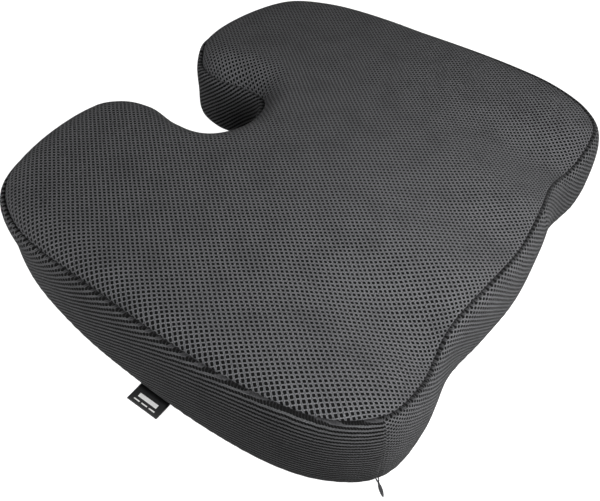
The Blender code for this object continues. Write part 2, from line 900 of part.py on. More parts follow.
def plate_outline(half_long, half_wide):
    """Slider plate in plan: wide shoulders at the leading end, narrower tail."""
    return [(-half_long, -half_wide * 0.62), (-half_long * 0.35, -half_wide * 0.7),
            (half_long * 0.35, -half_wide), (half_long * 0.85, -half_wide * 0.86),
            (half_long, 0.0), (half_long * 0.85, half_wide * 0.86),
            (half_long * 0.35, half_wide), (-half_long * 0.35, half_wide * 0.7),
            (-half_long, half_wide * 0.62)]


def prism(name, plan, z0, z1, at):
    mesh = bpy.data.meshes.new(name)
    bm = bmesh.new()
    low = [bm.verts.new(((x + at[0]) * MM, (y + at[1]) * MM, z0 * MM)) for x, y in plan]
    face = bm.faces.new(low)
    grown = bmesh.ops.extrude_face_region(bm, geom=[face])
    lifted = [g for g in grown["geom"] if isinstance(g, bmesh.types.BMVert)]
    bmesh.ops.translate(bm, verts=lifted, vec=(0.0, 0.0, (z1 - z0) * MM))
    bmesh.ops.recalc_face_normals(bm, faces=bm.faces)
    bm.to_mesh(mesh)
    bm.free()
    return mesh


def unite(obj, other):
    mod = obj.modifiers.new("join_" + other.name, "BOOLEAN")
    mod.operation = "UNION"
    mod.solver = "EXACT"
    mod.object = other


def make_slider(mat):
    """Two plates, the neck that joins them and the bridge that holds the pull."""
    x = SLIDER_X
    y = ZIP_Y
    plan = plate_outline(SLIDER_HALF_LONG, SLIDER_HALF_WIDE)
    outer = prism("zip_slider", plan, OUTER_PLATE[0], OUTER_PLATE[1], (x, y))
    obj = node("zip_slider", outer, mat)
    inner = prism("slider_inner_plate", plan, INNER_PLATE[0], INNER_PLATE[1], (x, y))
    unite(obj, helper("slider_inner_plate", inner))
    neck = box_mesh(
        "slider_neck", x + SLIDER_NECK_X[0], x + SLIDER_NECK_X[1], y - SLIDER_NECK_HALF,
        y + SLIDER_NECK_HALF, SLIDER_NECK_Z[0], SLIDER_NECK_Z[1])
    unite(obj, helper("slider_neck", neck))
    low = y - BRIDGE_HALF_WIDE
    high = y + BRIDGE_HALF_WIDE
    for side, name in ((-1.0, "slider_post_rear"), (1.0, "slider_post_lead")):
        xs = sorted((x + side * BRIDGE_POST_X[0], x + side * BRIDGE_POST_X[1]))
        post = box_mesh(name, xs[0], xs[1], low, high, BRIDGE_LOW, BRIDGE_TOP)
        unite(obj, helper(name, post))
    strap = box_mesh(
        "slider_strap", x - BRIDGE_HALF_LONG, x + BRIDGE_HALF_LONG, low, high,
        BRIDGE_LOW, BRIDGE_INSIDE)
    unite(obj, helper("slider_strap", strap))
    set_origin(obj, (SLIDER_X, ZIP_Y, HINGE_Z))
    return obj


def pull_matrix():
    hinge = Matrix.Translation(Vector((SLIDER_X * MM, ZIP_Y * MM, HINGE_Z * MM)))
    return hinge @ Matrix.Rotation(PULL_YAW, 4, "Z") @ Matrix.Rotation(PULL_DROP, 4, "Y")


def make_pull(mat):
    """Teardrop wire loop that narrows to a neck, then a slim leaf."""
    thick = PULL_HALF_THICK
    loop = PULL_EDGE + [(x, -y) for x, y in reversed(PULL_EDGE[:-1])]
    body = prism("zip_pull_tab", loop, -thick, thick, (0.0, 0.0))
    window = PULL_WINDOW + [(x, -y) for x, y in reversed(PULL_WINDOW)]
    opening = prism("pull_window", window, -PULL_CUTTER_HALF, PULL_CUTTER_HALF, (0.0, 0.0))
    body.transform(pull_matrix())
    opening.transform(pull_matrix())
    obj = node("zip_pull_tab", body, mat)
    cut = obj.modifiers.new("window", "BOOLEAN")
    cut.operation = "DIFFERENCE"
    cut.solver = "EXACT"
    cut.object = helper("pull_window", opening)
    set_origin(obj, (SLIDER_X, ZIP_Y, HINGE_Z))
    return obj


# ---------------------------------------------------------------- label
def make_label(mat):
    """Folded woven label: out of the base seam, down to the floor and back."""
    edge_x = OUTLINE[nearest_index((-224.0, LABEL_Y))].x
    rows = [LABEL_Y - LABEL_WIDTH * 0.5, LABEL_Y, LABEL_Y + LABEL_WIDTH * 0.5]
    verts = []
    for y in rows:
        for inset, z in LABEL_SECTION:
            verts.append((edge_x + inset, y, z))
    mesh = mesh_from("side_label", verts, grid_faces(len(rows), len(LABEL_SECTION)))
    bm = bmesh.new()
    bm.from_mesh(mesh)
    bmesh.ops.recalc_face_normals(bm, faces=bm.faces)
    bm.faces.ensure_lookup_table()
    if bm.faces[1].normal.z < 0.0:
        bmesh.ops.reverse_faces(bm, faces=bm.faces)
    bm.to_mesh(mesh)
    bm.free()
    obj = node("side_label", mesh, mat)
    solidify(obj, LABEL_THICK)
    return obj


def build():
    clear_scene()
    mesh_mat = material("cover_mesh_fabric", (0.055, 0.056, 0.06), 0.9)
    band_mat = material("band_mesh_fabric", (0.045, 0.046, 0.05), 0.9)
    base_mat = material("base_grip_fabric", (0.02, 0.02, 0.022), 0.85)
    foam_mat = material("memory_foam", (0.75, 0.73, 0.66), 0.95)
    thread_mat = material("sewing_thread", (0.03, 0.03, 0.033), 0.8)
    tape_mat = material("zip_tape", (0.015, 0.015, 0.017), 0.85)
    coil_mat = material("zip_coil", (0.02, 0.02, 0.022), 0.45)
    metal_mat = material("zip_metal", (0.03, 0.03, 0.032), 0.35, 0.6)
    label_mat = material("label_weave", (0.012, 0.012, 0.013), 0.8)
    corner = LENGTHS[nearest_index(JOIN_CORNER)]
    bump = LENGTHS[nearest_index(JOIN_BUMP)]
    make_foam(foam_mat)
    make_top_panel(mesh_mat)
    band_strip("band_main", bump + JOIN_HALF_GAP, corner - JOIN_HALF_GAP, band_mat)
    band_strip("band_front", corner + JOIN_HALF_GAP, bump - JOIN_HALF_GAP, band_mat)
    make_base_panel("base_panel_main", False, base_mat)
    make_base_panel("base_panel_front", True, base_mat)
    make_top_thread(thread_mat)
    make_base_thread(thread_mat)
    make_join_thread("corner_join_thread", corner, thread_mat)
    make_join_thread("bump_join_thread", bump, thread_mat)
    make_topstitch("zip_topstitch_front", -1.0, thread_mat)
    make_topstitch("zip_topstitch_rear", 1.0, thread_mat)
    make_tape("zip_tape_front", -1.0, tape_mat)
    make_tape("zip_tape_rear", 1.0, tape_mat)
    make_coil("zip_coil_front", -1.0, coil_mat)
    make_coil("zip_coil_rear", 1.0, coil_mat)
    make_stop("zip_stop_near", -1.0, metal_mat)
    make_stop("zip_stop_far", 1.0, metal_mat)
    make_slider(metal_mat)
    make_pull(metal_mat)
    make_label(label_mat)


build()
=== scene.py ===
import json
import math

import bmesh
import bpy
import numpy as np
from mathutils import Matrix, Vector
from mathutils.geometry import delaunay_2d_cdt

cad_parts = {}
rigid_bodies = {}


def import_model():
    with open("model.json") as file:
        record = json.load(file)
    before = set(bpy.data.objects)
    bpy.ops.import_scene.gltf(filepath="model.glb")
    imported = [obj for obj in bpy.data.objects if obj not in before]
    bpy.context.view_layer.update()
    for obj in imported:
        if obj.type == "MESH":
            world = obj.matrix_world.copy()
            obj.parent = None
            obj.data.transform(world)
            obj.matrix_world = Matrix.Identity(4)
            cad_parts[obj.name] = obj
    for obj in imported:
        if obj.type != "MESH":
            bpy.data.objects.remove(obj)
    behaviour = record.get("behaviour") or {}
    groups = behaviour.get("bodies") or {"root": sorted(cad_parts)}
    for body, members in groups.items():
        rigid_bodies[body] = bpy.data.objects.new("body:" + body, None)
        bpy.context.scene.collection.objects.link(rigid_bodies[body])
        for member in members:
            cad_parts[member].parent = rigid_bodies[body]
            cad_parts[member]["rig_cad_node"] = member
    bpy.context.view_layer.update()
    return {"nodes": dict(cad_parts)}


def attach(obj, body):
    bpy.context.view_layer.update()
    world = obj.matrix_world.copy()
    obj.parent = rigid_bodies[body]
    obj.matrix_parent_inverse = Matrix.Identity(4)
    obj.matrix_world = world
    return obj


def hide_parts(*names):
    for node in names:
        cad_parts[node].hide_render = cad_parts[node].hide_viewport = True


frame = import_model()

# Seat cushion with a rear cut-out.  Lengths below are in millimetres unless a
# name says otherwise; MM turns them into the frame's metres.  +X is across the
# width, -Y the front edge, +Y the rear with the cut-out, +Z up.
MM = 0.001

# ---------------------------------------------------------------- plan outline
HALF_OUTLINE = [
    (0.0, -186.7), (47.0, -183.0), (93.0, -177.4), (141.0, -183.6),
    (178.6, -179.2), (202.6, -156.0), (216.8, -119.6), (223.0, -65.8),
    (223.0, -2.0), (218.6, 60.6), (205.6, 123.5), (182.6, 163.8),
    (141.0, 182.2), (88.5, 186.8), (49.7, 174.4), (37.2, 144.4),
    (41.0, 111.6), (34.2, 86.4), (0.0, 75.7),
]
SAMPLES_PER_SPAN = 24
RING_POINTS = 720
SEAM_POINTS = 2 * RING_POINTS

# ---------------------------------------------------------------- heights
CROWN_REAR = 83.4
CROWN_FRONT = 74.2
THIGH_X = 112.0
THIGH_WIDTH = 44.0
THIGH_DEPTH = 18.5
THIGH_LENGTH = 150.0
CENTRE_WIDTH = 40.0
CENTRE_DROP = 8.0
HOLLOW_Y = 75.0
HOLLOW_WIDTH = 45.0
HOLLOW_DEPTH = 5.0
SHOULDER_REACH = 26.0
SHOULDER_POWER = 0.55
SEAM_SIDE = 71.0
SEAM_REAR = 65.8
SEAM_CUTOUT = 57.0
SEAM_CORNER = 68.7
SEAM_CHANNEL = 54.0
SEAM_CENTRE = 64.0

# ---------------------------------------------------------------- sections
ROLL_START = 5.63
ROLL_RISE = 1.63
TOP_ROLL = [(6.4, -2.2), (4.9, -0.9), (4.35, -0.15), (4.45, 0.45), (4.9, 1.1)]
TOP_RINGS = [5.63, 5.8, 6.1, 6.5, 7.1, 7.9, 8.9, 10.1, 11.5, 13.1, 14.9, 16.9]
TOP_SPACING = 2.6
GATHER = 1.9
GATHER_DEPTH = 5.0
SOFT_POWER = 8
SOFT_SCALE = 0.98175
SOFT_BLEND = 20.0
STRETCH = 0.0204
PULL_OUT = (-0.3, 0.1, 0.2, 0.2)
PULL_REACH = 9.0

BAND_TOP = [(6.0, -2.6), (4.6, -1.2), (3.95, -0.35), (3.4, -0.5), (2.5, -1.4),
            (1.5, -3.6), (0.7, -7.5), (0.0, -15.0)]
BAND_BASE = [(-0.1, 21.0), (0.3, 15.0), (1.1, 10.4), (2.4, 7.4), (3.9, 5.5),
             (4.9, 4.8), (6.0, 5.6)]
BAND_STEPS = 4
BAND_BULGE = -0.3

BASE_ROLL = [(5.4, 4.5), (5.7, 3.8), (6.4, 2.9), (7.4, 2.1), (8.8, 1.45),
             (10.6, 1.0), (12.4, 0.7), (14.0, 0.55)]
BASE_FLAT_Z = 0.55

# How far the seams sit further in than on a plain upright wall, by zone:
# front edge, sides, rear of the lobes, cut-out.
TOP_SEAM_SHIFT = (3.2, 1.7, -5.5, -2.4)
BASE_SEAM_SHIFT = (-0.4, 0.5, 0.6, -1.5)
TOP_SHIFT_DEPTH = 22.0
BASE_SHIFT_HEIGHT = 30.0
BASE_SPACING = 7.0
FILLER_REACH = 230.0

# thickness of each cover piece's cloth
TOP_THICK = 2.4
BAND_THICK = 2.2
BASE_THICK = 1.2

# ---------------------------------------------------------------- sewing
# inset and height of the stitches at the two long seams
TOP_STITCH_PLACE = (4.15, 0.1)
BASE_STITCH_PLACE = (5.3, 4.6)
SEAM_PITCH = 3.2
JOIN_PITCH = 3.0
STITCH_FILL = 0.8
SEAM_THREAD = 0.32
ZIP_THREAD = 0.28
STITCH_DIP = 0.25
STITCH_SIDES = 6
TUBE_END = 0.45

JOIN_CORNER = (-184.5, -176.0)
JOIN_BUMP = (47.0, -183.0)
JOIN_GAP = 0.2
JOIN_TUCK = 0.45
JOIN_WIDTH = 1.2

# ---------------------------------------------------------------- zip
ZIP_Y = -160.0
SLOT_HALF = 6.0
SLOT_END = 183.0
PANEL_GAP = 0.2
CHANNEL_FLAT = 11.5
CHANNEL_RAMP = 8.0
CHANNEL_Z = 3.8
COIL_END = 178.5
COIL_PITCH = 1.8
COIL_STEPS = 10
COIL_STAGGER = 0.45
COIL_MIDDLE = 1.62
COIL_REACH = 0.98
COIL_Z = 4.9
COIL_RISE = 0.5
COIL_WIRE = 0.24
COIL_SIDES = 5
STITCH_END = 178.0
TOPSTITCH_OFFSET = 2.0
TOPSTITCH_LOW = 0.15
HINGE = (-168.0, -160.0, 2.0)
PULL_YAW = math.radians(229.5)
PULL_DROP = math.radians(2.2)
# one side of the pull's wire loop: distance from the hinge, half width
PULL_HALF = [(0.1, -2.4), (0.0, -3.2), (1.2, -3.35), (4.0, -3.2), (10.0, -2.3),
             (16.0, -1.45), (20.5, -0.85), (22.5, -0.55)]
PULL_WIRE = 0.45
PULL_WIRE_SIDES = 8
# the pull's leaf: distance from the hinge, half width, half thickness
PULL_LEAF = [(22.0, 0.75, 0.42), (23.2, 0.62, 0.45), (24.4, 0.7, 0.42), (26.0, 1.15, 0.36),
             (28.0, 1.32, 0.32), (30.0, 1.22, 0.3), (31.8, 0.85, 0.28), (33.0, 0.4, 0.24),
             (33.5, 0.1, 0.12)]
LEAF_SIDES = 12
METAL_ROUNDING = 0.18

# ---------------------------------------------------------------- grip dots
DOT_SPACING = 8.0
DOT_MARGIN = 19.0
DOT_ZIP_GAP = 3.0
DOT_SIDES = 8

# ---------------------------------------------------------------- label
LABEL_Y = -19.0
LABEL_WIDTH = 27.5
LABEL_REACH = 12.0
LABEL_THICK = 0.35
LABEL_ROWS = 16
# the folded label in section, inset and height: out of the seam, down, back under
LABEL_TOP = [(2.5, 2.6), (-2.0, 2.1), (-5.0, 1.95), (-LABEL_REACH + 1.0, 1.72)]
LABEL_FOLD = [(-LABEL_REACH + 0.2, 1.5), (-LABEL_REACH, 1.15), (-LABEL_REACH + 0.25, 0.8)]
LABEL_UNDER = [(-LABEL_REACH + 1.0, 0.62), (-4.5, 0.7), (-2.0, 0.78), (2.7, 1.25)]
# inset, place along the label, half depth and half length of each mark
LABEL_MARKS = [(-5.0, 0.0, 1.5, 8.5), (-9.0, -7.0, 0.45, 2.6), (-9.0, 0.0, 0.45, 2.6),
               (-9.0, 7.0, 0.45, 2.6)]
MARK_LOW = -0.1
MARK_HIGH = 0.12
BAR_FACES = [(0, 3, 2, 1), (4, 5, 6, 7), (0, 1, 5, 4), (1, 2, 6, 5), (2, 3, 7, 6),
             (3, 0, 4, 7)]

# ---------------------------------------------------------------- fabric
WEAVE_X = 4.17
WEAVE_Y = 4.92
PUCKER_CYCLES = (151, 187, 233)
TOP_OPENINGS = (-0.55, -0.15)
BAND_OPENINGS = (-0.58, -0.12)
RIM_START = -0.95
NET_SHARE = 0.8
# shares of the painted highlights in the yarn's lightness: the openings' bright rims, glints on
# the fibre fuzz, and the ply lines
LIGHT_RIM = 0.35
LIGHT_GLINT = 0.5
LIGHT_PLY = 0.15
MESH_BUMP = 0.0005
MESH_ROUGHNESS = 0.7
MESH_SHEEN = 0.03
MESH_SHEEN_ROUGHNESS = 0.45
MESH_SPECULAR = 0.08
# which of the two diagonals shows, by zone; 0.5 is neither
BAND_SLANT = (0.42, 0.63, 0.57, 0.66)
CORNER_SLANT = 0.66
# the ribs turn along the near side, and the weave is finer round the corner
SKEW_PLACES = (-330.0, -175.0, -60.0, 0.0)
RIB_SKEWS = (0.0, 0.36, 0.95, 1.2)
FINE_PLACES = (-330.0, -60.0, 0.0, 60.0, 140.0)
FINE_SCALES = (1.0, 1.4, 1.65, 1.35, 1.05)
# painted shade of the top seam's crease, by distance from it
CREASE_SHADE_START = 2.6
CREASE_SHADE_FADE = 1.4
CREASE_SHADE_LIFT = 0.2
TOP_LEAN = (0.0, -0.1, 0.0, 0.0)
TOP_LEAN_REACH = 13.0
YARN = (0.14, 0.141, 0.146)
TOP_YARN = (0.155, 0.156, 0.163)
# darkest yarn tone, which the painted highlights lift towards the yarn colour
SHADE = (0.009, 0.009, 0.0097)
# painted shade of the seam's crease
CREASE_SHADE = (0.004, 0.004, 0.0045)
# painted shade: near-black for the depth of the mesh's openings
HOLE_SHADE = (0.0006, 0.0006, 0.0007)


# ================================================================ numbers
def smooth(t):
    t = np.clip(t, 0.0, 1.0)
    return t * t * (3.0 - 2.0 * t)


def bell(value, centre, width):
    return np.exp(-((value - centre) / width) ** 2)


def catmull_rom(p0, p1, p2, p3, t):
    """Point at share t of the span from p1 to p2."""
    value = 2.0 * p1 + (p2 - p0) * t
    value = value + (2.0 * p0 - 5.0 * p1 + 4.0 * p2 - p3) * t ** 2
    value = value + (3.0 * p1 - p0 - 3.0 * p2 + p3) * t ** 3
    return value * 0.5


def closed_outline():
    """Catmull-Rom curve through the mirrored half outline, anticlockwise."""
    half = np.array(HALF_OUTLINE)
    mirrored = half[-2:0:-1] * (-1.0, 1.0)
    pts = np.vstack([half, mirrored])
    p0 = np.roll(pts, 1, axis=0)[:, None, :]
    p1 = pts[:, None, :]
    p2 = np.roll(pts, -1, axis=0)[:, None, :]
    p3 = np.roll(pts, -2, axis=0)[:, None, :]
    t = (np.arange(SAMPLES_PER_SPAN) / SAMPLES_PER_SPAN)[None, :, None]
    return catmull_rom(p0, p1, p2, p3, t).reshape(-1, 2)


OUTLINE = closed_outline()
RUNS = np.roll(OUTLINE, -1, axis=0) - OUTLINE
LENGTHS = np.concatenate([[0.0], np.cumsum(np.hypot(RUNS[:, 0], RUNS[:, 1]))])
TOTAL = LENGTHS[-1]
TANGENTS = np.roll(OUTLINE, -1, axis=0) - np.roll(OUTLINE, 1, axis=0)
TANGENTS = TANGENTS / np.hypot(TANGENTS[:, 0], TANGENTS[:, 1])[:, None]
NORMALS = np.stack([TANGENTS[:, 1], -TANGENTS[:, 0]], axis=1)


def at_length(s):
    """Outline points and outward normals at arc lengths s."""
    s = np.mod(s, TOTAL)
    wrapped = np.vstack([OUTLINE, OUTLINE[:1]])
    turned = np.vstack([NORMALS, NORMALS[:1]])
    p = np.stack([np.interp(s, LENGTHS, wrapped[:, k]) for k in range(2)], axis=1)
    n = np.stack([np.interp(s, LENGTHS, turned[:, k]) for k in range(2)], axis=1)
    return p, n / np.hypot(n[:, 0], n[:, 1])[:, None]


def length_near(point):
    gap = np.hypot(OUTLINE[:, 0] - point[0], OUTLINE[:, 1] - point[1])
    return LENGTHS[int(gap.argmin())]


def front_weight(y, length):
    return smooth((-y - 189.0 + length) / length)


def crown(x, y):
    """Height of the upholstered top away from its edge."""
    z = CROWN_FRONT + (CROWN_REAR - CROWN_FRONT) * smooth((y + 150.0) / 260.0)
    near = front_weight(y, THIGH_LENGTH)
    z = z - THIGH_DEPTH * bell(np.abs(x), THIGH_X, THIGH_WIDTH) * near
    # slight hollow round the end of the cut-out
    z = z - HOLLOW_DEPTH * bell(np.hypot(x, y - HOLLOW_Y), 0.0, HOLLOW_WIDTH)
    return z - CENTRE_DROP * bell(x, 0.0, CENTRE_WIDTH) * near


def seam_height(p):
    """Height of the top seam at outline points."""
    x = np.abs(p[:, 0])
    y = p[:, 1]
    lobe = smooth((y - 40.0) / 110.0)
    z = SEAM_SIDE + (SEAM_REAR - SEAM_SIDE) * lobe * smooth((x - 44.0) / 30.0)
    inside = smooth((y - 40.0) / 30.0) * (1.0 - smooth((x - 44.0) / 30.0))
    z = z + (SEAM_CUTOUT - SEAM_SIDE) * inside
    z = z + (SEAM_CORNER - SEAM_SIDE) * smooth((-y - 100.0) / 70.0)
    edge = smooth((-y - 165.0) / 16.0)
    z = z - (SEAM_CORNER - SEAM_CHANNEL) * edge * bell(x, THIGH_X, THIGH_WIDTH)
    return z - (SEAM_CORNER - SEAM_CENTRE) * edge * bell(x, 0.0, CENTRE_WIDTH)


def zone_weights(p):
    """Shares of front edge, side, rear of the lobes and cut-out at outline points."""
    x = np.abs(p[:, 0])
    y = p[:, 1]
    front = smooth((-y - 150.0) / 25.0)
    cutout = smooth((y - 40.0) / 30.0) * (1.0 - smooth((x - 44.0) / 30.0))
    rear = smooth((y - 20.0) / 110.0) * smooth((x - 44.0) / 30.0)
    side = np.clip(1.0 - front - cutout - rear, 0.0, 1.0)
    return np.stack([front, side, rear, cutout], axis=1)


def seam_shift(p):
    return zone_weights(p) @ np.array(TOP_SEAM_SHIFT)


def base_shift(p):
    return zone_weights(p) @ np.array(BASE_SEAM_SHIFT)


def edge_field(points, shift):
    """Distance in from the shifted edge, its rounded-off twin, both seam heights, the way out."""
    count = len(points)
    near = np.empty(count)
    soft = np.empty(count)
    seam_near = np.empty(count)
    seam_soft = np.empty(count)
    outward = np.empty((count, 2))
    spacing = np.hypot(RUNS[:, 0], RUNS[:, 1])
    seam = seam_height(OUTLINE)
    moved = shift(OUTLINE)
    block = 4096
    for start in range(0, count, block):
        some = slice(start, start + block)
        delta = points[some, None, :] - OUTLINE[None, :, :]
        gap = np.hypot(delta[:, :, 0], delta[:, :, 1])
        best = gap.argmin(axis=1)
        rows = np.arange(len(best))
        outward[some] = NORMALS[best]
        near[some] = np.abs((delta[rows, best] * NORMALS[best]).sum(axis=1))
        low = gap[rows, best]
        weight = (low[:, None] / gap) ** SOFT_POWER * spacing[None, :]
        total = weight.sum(axis=1)
        soft[some] = (total / (SOFT_SCALE * low ** SOFT_POWER)) ** (1.0 / (1.0 - SOFT_POWER))
        soft[some] -= (weight * moved[None, :]).sum(axis=1) / total
        near[some] -= moved[best]
        seam_soft[some] = (weight * seam[None, :]).sum(axis=1) / total
        seam_near[some] = seam[best]
    return near, soft, seam_near, seam_soft, outward


def puckers(s, phase):
    """Small irregular gathers along a seam, between -1 and 1."""
    turn = 2.0 * math.pi * s / TOTAL
    total = 0.0
    for k, cycles in enumerate(PUCKER_CYCLES):
        total = total + np.sin(turn * cycles + phase * (k + 1) + 2.1 * np.sin(turn * (9 + 4 * k)))
    return total / len(PUCKER_CYCLES)


def softness(x, y):
    """Slow unevenness of the padding, in millimetres."""
    a = np.sin(x * 0.041 + 0.7) * np.sin(y * 0.037 + 1.9)
    b = np.sin(x * 0.019 - y * 0.027 + 0.4)
    return 0.35 * a + 0.3 * b


# ================================================================ meshes
def mesh_object(name, verts, faces, uvs=None, slant=None, clear_of_shade=None):
    """Smooth-shaded mesh; cloth also gets its weave, its slant and its share clear of the crease's
    painted shade.
    """
    mesh = bpy.data.meshes.new(name)
    mesh.from_pydata(np.asarray(verts, float) * MM, [], faces)
    if uvs is not None:
        corner = np.empty(len(mesh.loops), dtype=np.int32)
        mesh.loops.foreach_get("vertex_index", corner)
        layer = mesh.uv_layers.new(name="weave")
        layer.data.foreach_set("uv", np.asarray(uvs, np.float32)[corner].ravel())
        if slant is None:
            slant = np.full(len(verts), 0.5)
            clear_of_shade = np.ones(len(verts))
        # second channel: 1 clear of the seam crease's painted shade, 0 in it
        lean = np.stack([slant, clear_of_shade], axis=1)
        layer = mesh.uv_layers.new(name="lean")
        layer.data.foreach_set("uv", np.asarray(lean, np.float32)[corner].ravel())
    mesh.polygons.foreach_set("use_smooth", np.ones(len(mesh.polygons), dtype=bool))
    mesh.update()
    obj = bpy.data.objects.new(name, mesh)
    bpy.context.scene.collection.objects.link(obj)
    return obj


def dress(obj, body, slot, material, *nodes):
    """Material, body and the CAD nodes that a new piece stands for; the record slot is not used.
    """
    obj.data.materials.clear()
    obj.data.materials.append(material)
    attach(obj, body)
    if nodes:
        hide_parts(*nodes)
    return obj


def thicken(obj, thickness):
    mod = obj.modifiers.new("thickness", "SOLIDIFY")
    mod.thickness = thickness * MM
    mod.offset = -1.0
    mod.use_even_offset = False
    return obj


def grid_faces(rows, cols, wrap):
    """Quads of a grid of rows x cols vertices; wrap joins the last row to the first."""
    faces = []
    for i in range(rows if wrap else rows - 1):
        m = (i + 1) % rows
        for j in range(cols - 1):
            faces.append((i * cols + j, m * cols + j, m * cols + j + 1, i * cols + j + 1))
    return faces


def filler_points(spacing, margin, shift):
    """Hexagonal lattice of plan points further than margin inside the outline."""
    step = spacing * math.sqrt(0.75)
    rows = np.arange(-FILLER_REACH, FILLER_REACH, step)
    pts = []
    for k, y in enumerate(rows):
        x = np.arange(-FILLER_REACH, FILLER_REACH, spacing) + (k % 2) * spacing * 0.5
        pts.append(np.stack([x, np.full(len(x), y)], axis=1))
    pts = np.vstack(pts)
    near = edge_field(pts, shift)[0]
    return pts[inside_outline(pts) & (near > margin)]


def inside_outline(pts):
    """True for the plan points inside the outline, by the crossing rule."""
    a = OUTLINE[::4]
    b = np.roll(a, -1, axis=0)
    y = pts[:, 1][:, None]
    spans = (a[None, :, 1] > y) != (b[None, :, 1] > y)
    rise = np.where(b[:, 1] == a[:, 1], 1.0, b[:, 1] - a[:, 1])
    cross = a[None, :, 0] + (y - a[None, :, 1]) * ((b[:, 0] - a[:, 0]) / rise)[None, :]
    hits = spans & (pts[:, 0][:, None] < cross)
    return hits.sum(axis=1) % 2 == 1


def triangulate(points, ring):
    """Constrained triangles of plan points inside the ring, and each vertex's source."""
    coords = [Vector((float(x), float(y))) for x, y in points]
    out = delaunay_2d_cdt(coords, [], [list(ring)], 1, 1e-4)
    verts, faces, sources = out[0], out[2], out[3]
    index = [src[0] if src else -1 for src in sources]
    return np.array([(v.x, v.y) for v in verts]), [tuple(f) for f in faces], np.array(index)


def ring_lengths():
    return np.arange(RING_POINTS) * (TOTAL / RING_POINTS)


def top_cover():
    """Top panel: rolled rings along the seam, then a fine filled surface."""
    s = ring_lengths()
    p, n = at_length(s)
    seam = seam_height(p)
    wave = puckers(s, 0.3)
    shift = seam_shift(p)[:, None]
    plan_rings = [p - n * (shift + inset) for inset in TOP_RINGS]
    filler = filler_points(TOP_SPACING, TOP_RINGS[-1] + TOP_SPACING * 0.6, seam_shift)
    plan = np.vstack(plan_rings + [filler])
    near, soft, seam_near, seam_soft, outward = edge_field(plan, seam_shift)
    for k, inset in enumerate(TOP_RINGS):
        rows = slice(k * RING_POINTS, (k + 1) * RING_POINTS)
        near[rows] = inset
        seam_near[rows] = seam
        outward[rows] = n
    mix = smooth((near - ROLL_START - 4.0) / SOFT_BLEND)
    distance = near + (soft - near) * mix
    low = seam_near + (seam_soft - seam_near) * mix + ROLL_RISE
    t = np.clip((distance - ROLL_START) / SHOULDER_REACH, 0.0, 1.0)
    rise = (1.0 - (1.0 - t) ** 2) ** SHOULDER_POWER
    high = crown(plan[:, 0], plan[:, 1])
    z = low + (high - low) * rise
    drop = (high - low) * (1.0 - rise)
    fade = smooth((near - ROLL_START) / 25.0)
    z = z + softness(plan[:, 0], plan[:, 1]) * fade
    excess = STRETCH * drop ** 2
    rings = len(TOP_RINGS)
    pull_out = zone_weights(p) @ np.array(PULL_OUT)
    for k in range(rings):
        rows = slice(k * RING_POINTS, (k + 1) * RING_POINTS)
        depth = TOP_RINGS[k] - ROLL_START
        z[rows] += 0.1 * wave * math.exp(-((depth - 3.0) / 5.0) ** 2)
    for k in range(rings - 2, -1, -1):
        rows = slice(k * RING_POINTS, (k + 1) * RING_POINTS)
        inner = slice((k + 1) * RING_POINTS, (k + 2) * RING_POINTS)
        step = TOP_RINGS[k + 1] - TOP_RINGS[k]
        fall = z[inner] - z[rows]
        pulled = 1.0 - pull_out * fall ** 2 / (fall ** 2 + step ** 2)
        middle = 0.5 * (TOP_RINGS[k + 1] + TOP_RINGS[k]) - ROLL_START
        pulled = pulled * (1.0 - pull_out * bell(middle, 0.0, PULL_REACH))
        excess[rows] = excess[inner] + np.hypot(step, fall) * pulled - step
    weave = plan + outward * excess[:, None]
    tri_plan, faces, index = triangulate(plan, range(RING_POINTS))
    verts = np.column_stack([tri_plan, z[index]])
    uvs = weave[index]
    where = np.full(len(plan), -1)
    where[index] = np.arange(len(index))
    ring = where[:RING_POINTS]
    edge_excess = excess[:RING_POINTS]
    side_share = zone_weights(plan + outward * near[:, None]) @ np.array(TOP_LEAN)
    lean = (0.5 + side_share * bell(near - ROLL_START, 0.0, TOP_LEAN_REACH))[index]
    edge_lean = 0.5 + zone_weights(p) @ np.array(TOP_LEAN)
    clear_of_shade = np.ones(len(lean))
    last_z = z[:RING_POINTS]
    last_inset = ROLL_START
    for inset, dz in reversed(TOP_ROLL):
        plan_ring = p - n * (shift + inset)
        ring_z = seam + dz
        edge_excess = edge_excess + GATHER * np.hypot(inset - last_inset, ring_z - last_z)
        start = len(verts)
        verts = np.vstack([verts, np.column_stack([plan_ring, ring_z])])
        uvs = np.vstack([uvs, p + n * (edge_excess[:, None] - ROLL_START - shift)])
        lean = np.concatenate([lean, edge_lean])
        # painted shade of the crease: the rings rolling down into the seam are darkened
        clear = float(smooth((dz - CREASE_SHADE_LIFT) / CREASE_SHADE_FADE))
        clear_of_shade = np.concatenate([clear_of_shade, np.full(RING_POINTS, clear)])
        fresh = np.arange(start, start + RING_POINTS)
        for k in range(RING_POINTS):
            m = (k + 1) % RING_POINTS
            faces.append((int(ring[k]), int(fresh[k]), int(fresh[m]), int(ring[m])))
        ring = fresh
        last_z = ring_z
        last_inset = inset
    return mesh_object("cover_top_panel", verts, faces, uvs, lean, clear_of_shade)


def band_controls(s):
    """Control points of the band's section at arc lengths s: inset and height."""
    p, n = at_length(s)
    top = seam_height(p)
    upper = seam_shift(p)
    lower = base_shift(p)
    columns = []
    for inset, dz in BAND_TOP:
        columns.append((inset + upper * (1.0 + dz / TOP_SHIFT_DEPTH), top + dz))
    middle = (top - 15.0 + 21.0) * 0.5
    columns.append((np.full(len(s), BAND_BULGE), middle))
    for inset, z in BAND_BASE:
        columns.append((inset + lower * (1.0 - z / BASE_SHIFT_HEIGHT), np.full(len(s), z)))
    inset = np.stack([c[0] for c in columns], axis=1)
    height = np.stack([c[1] for c in columns], axis=1)
    return p, n, inset, height


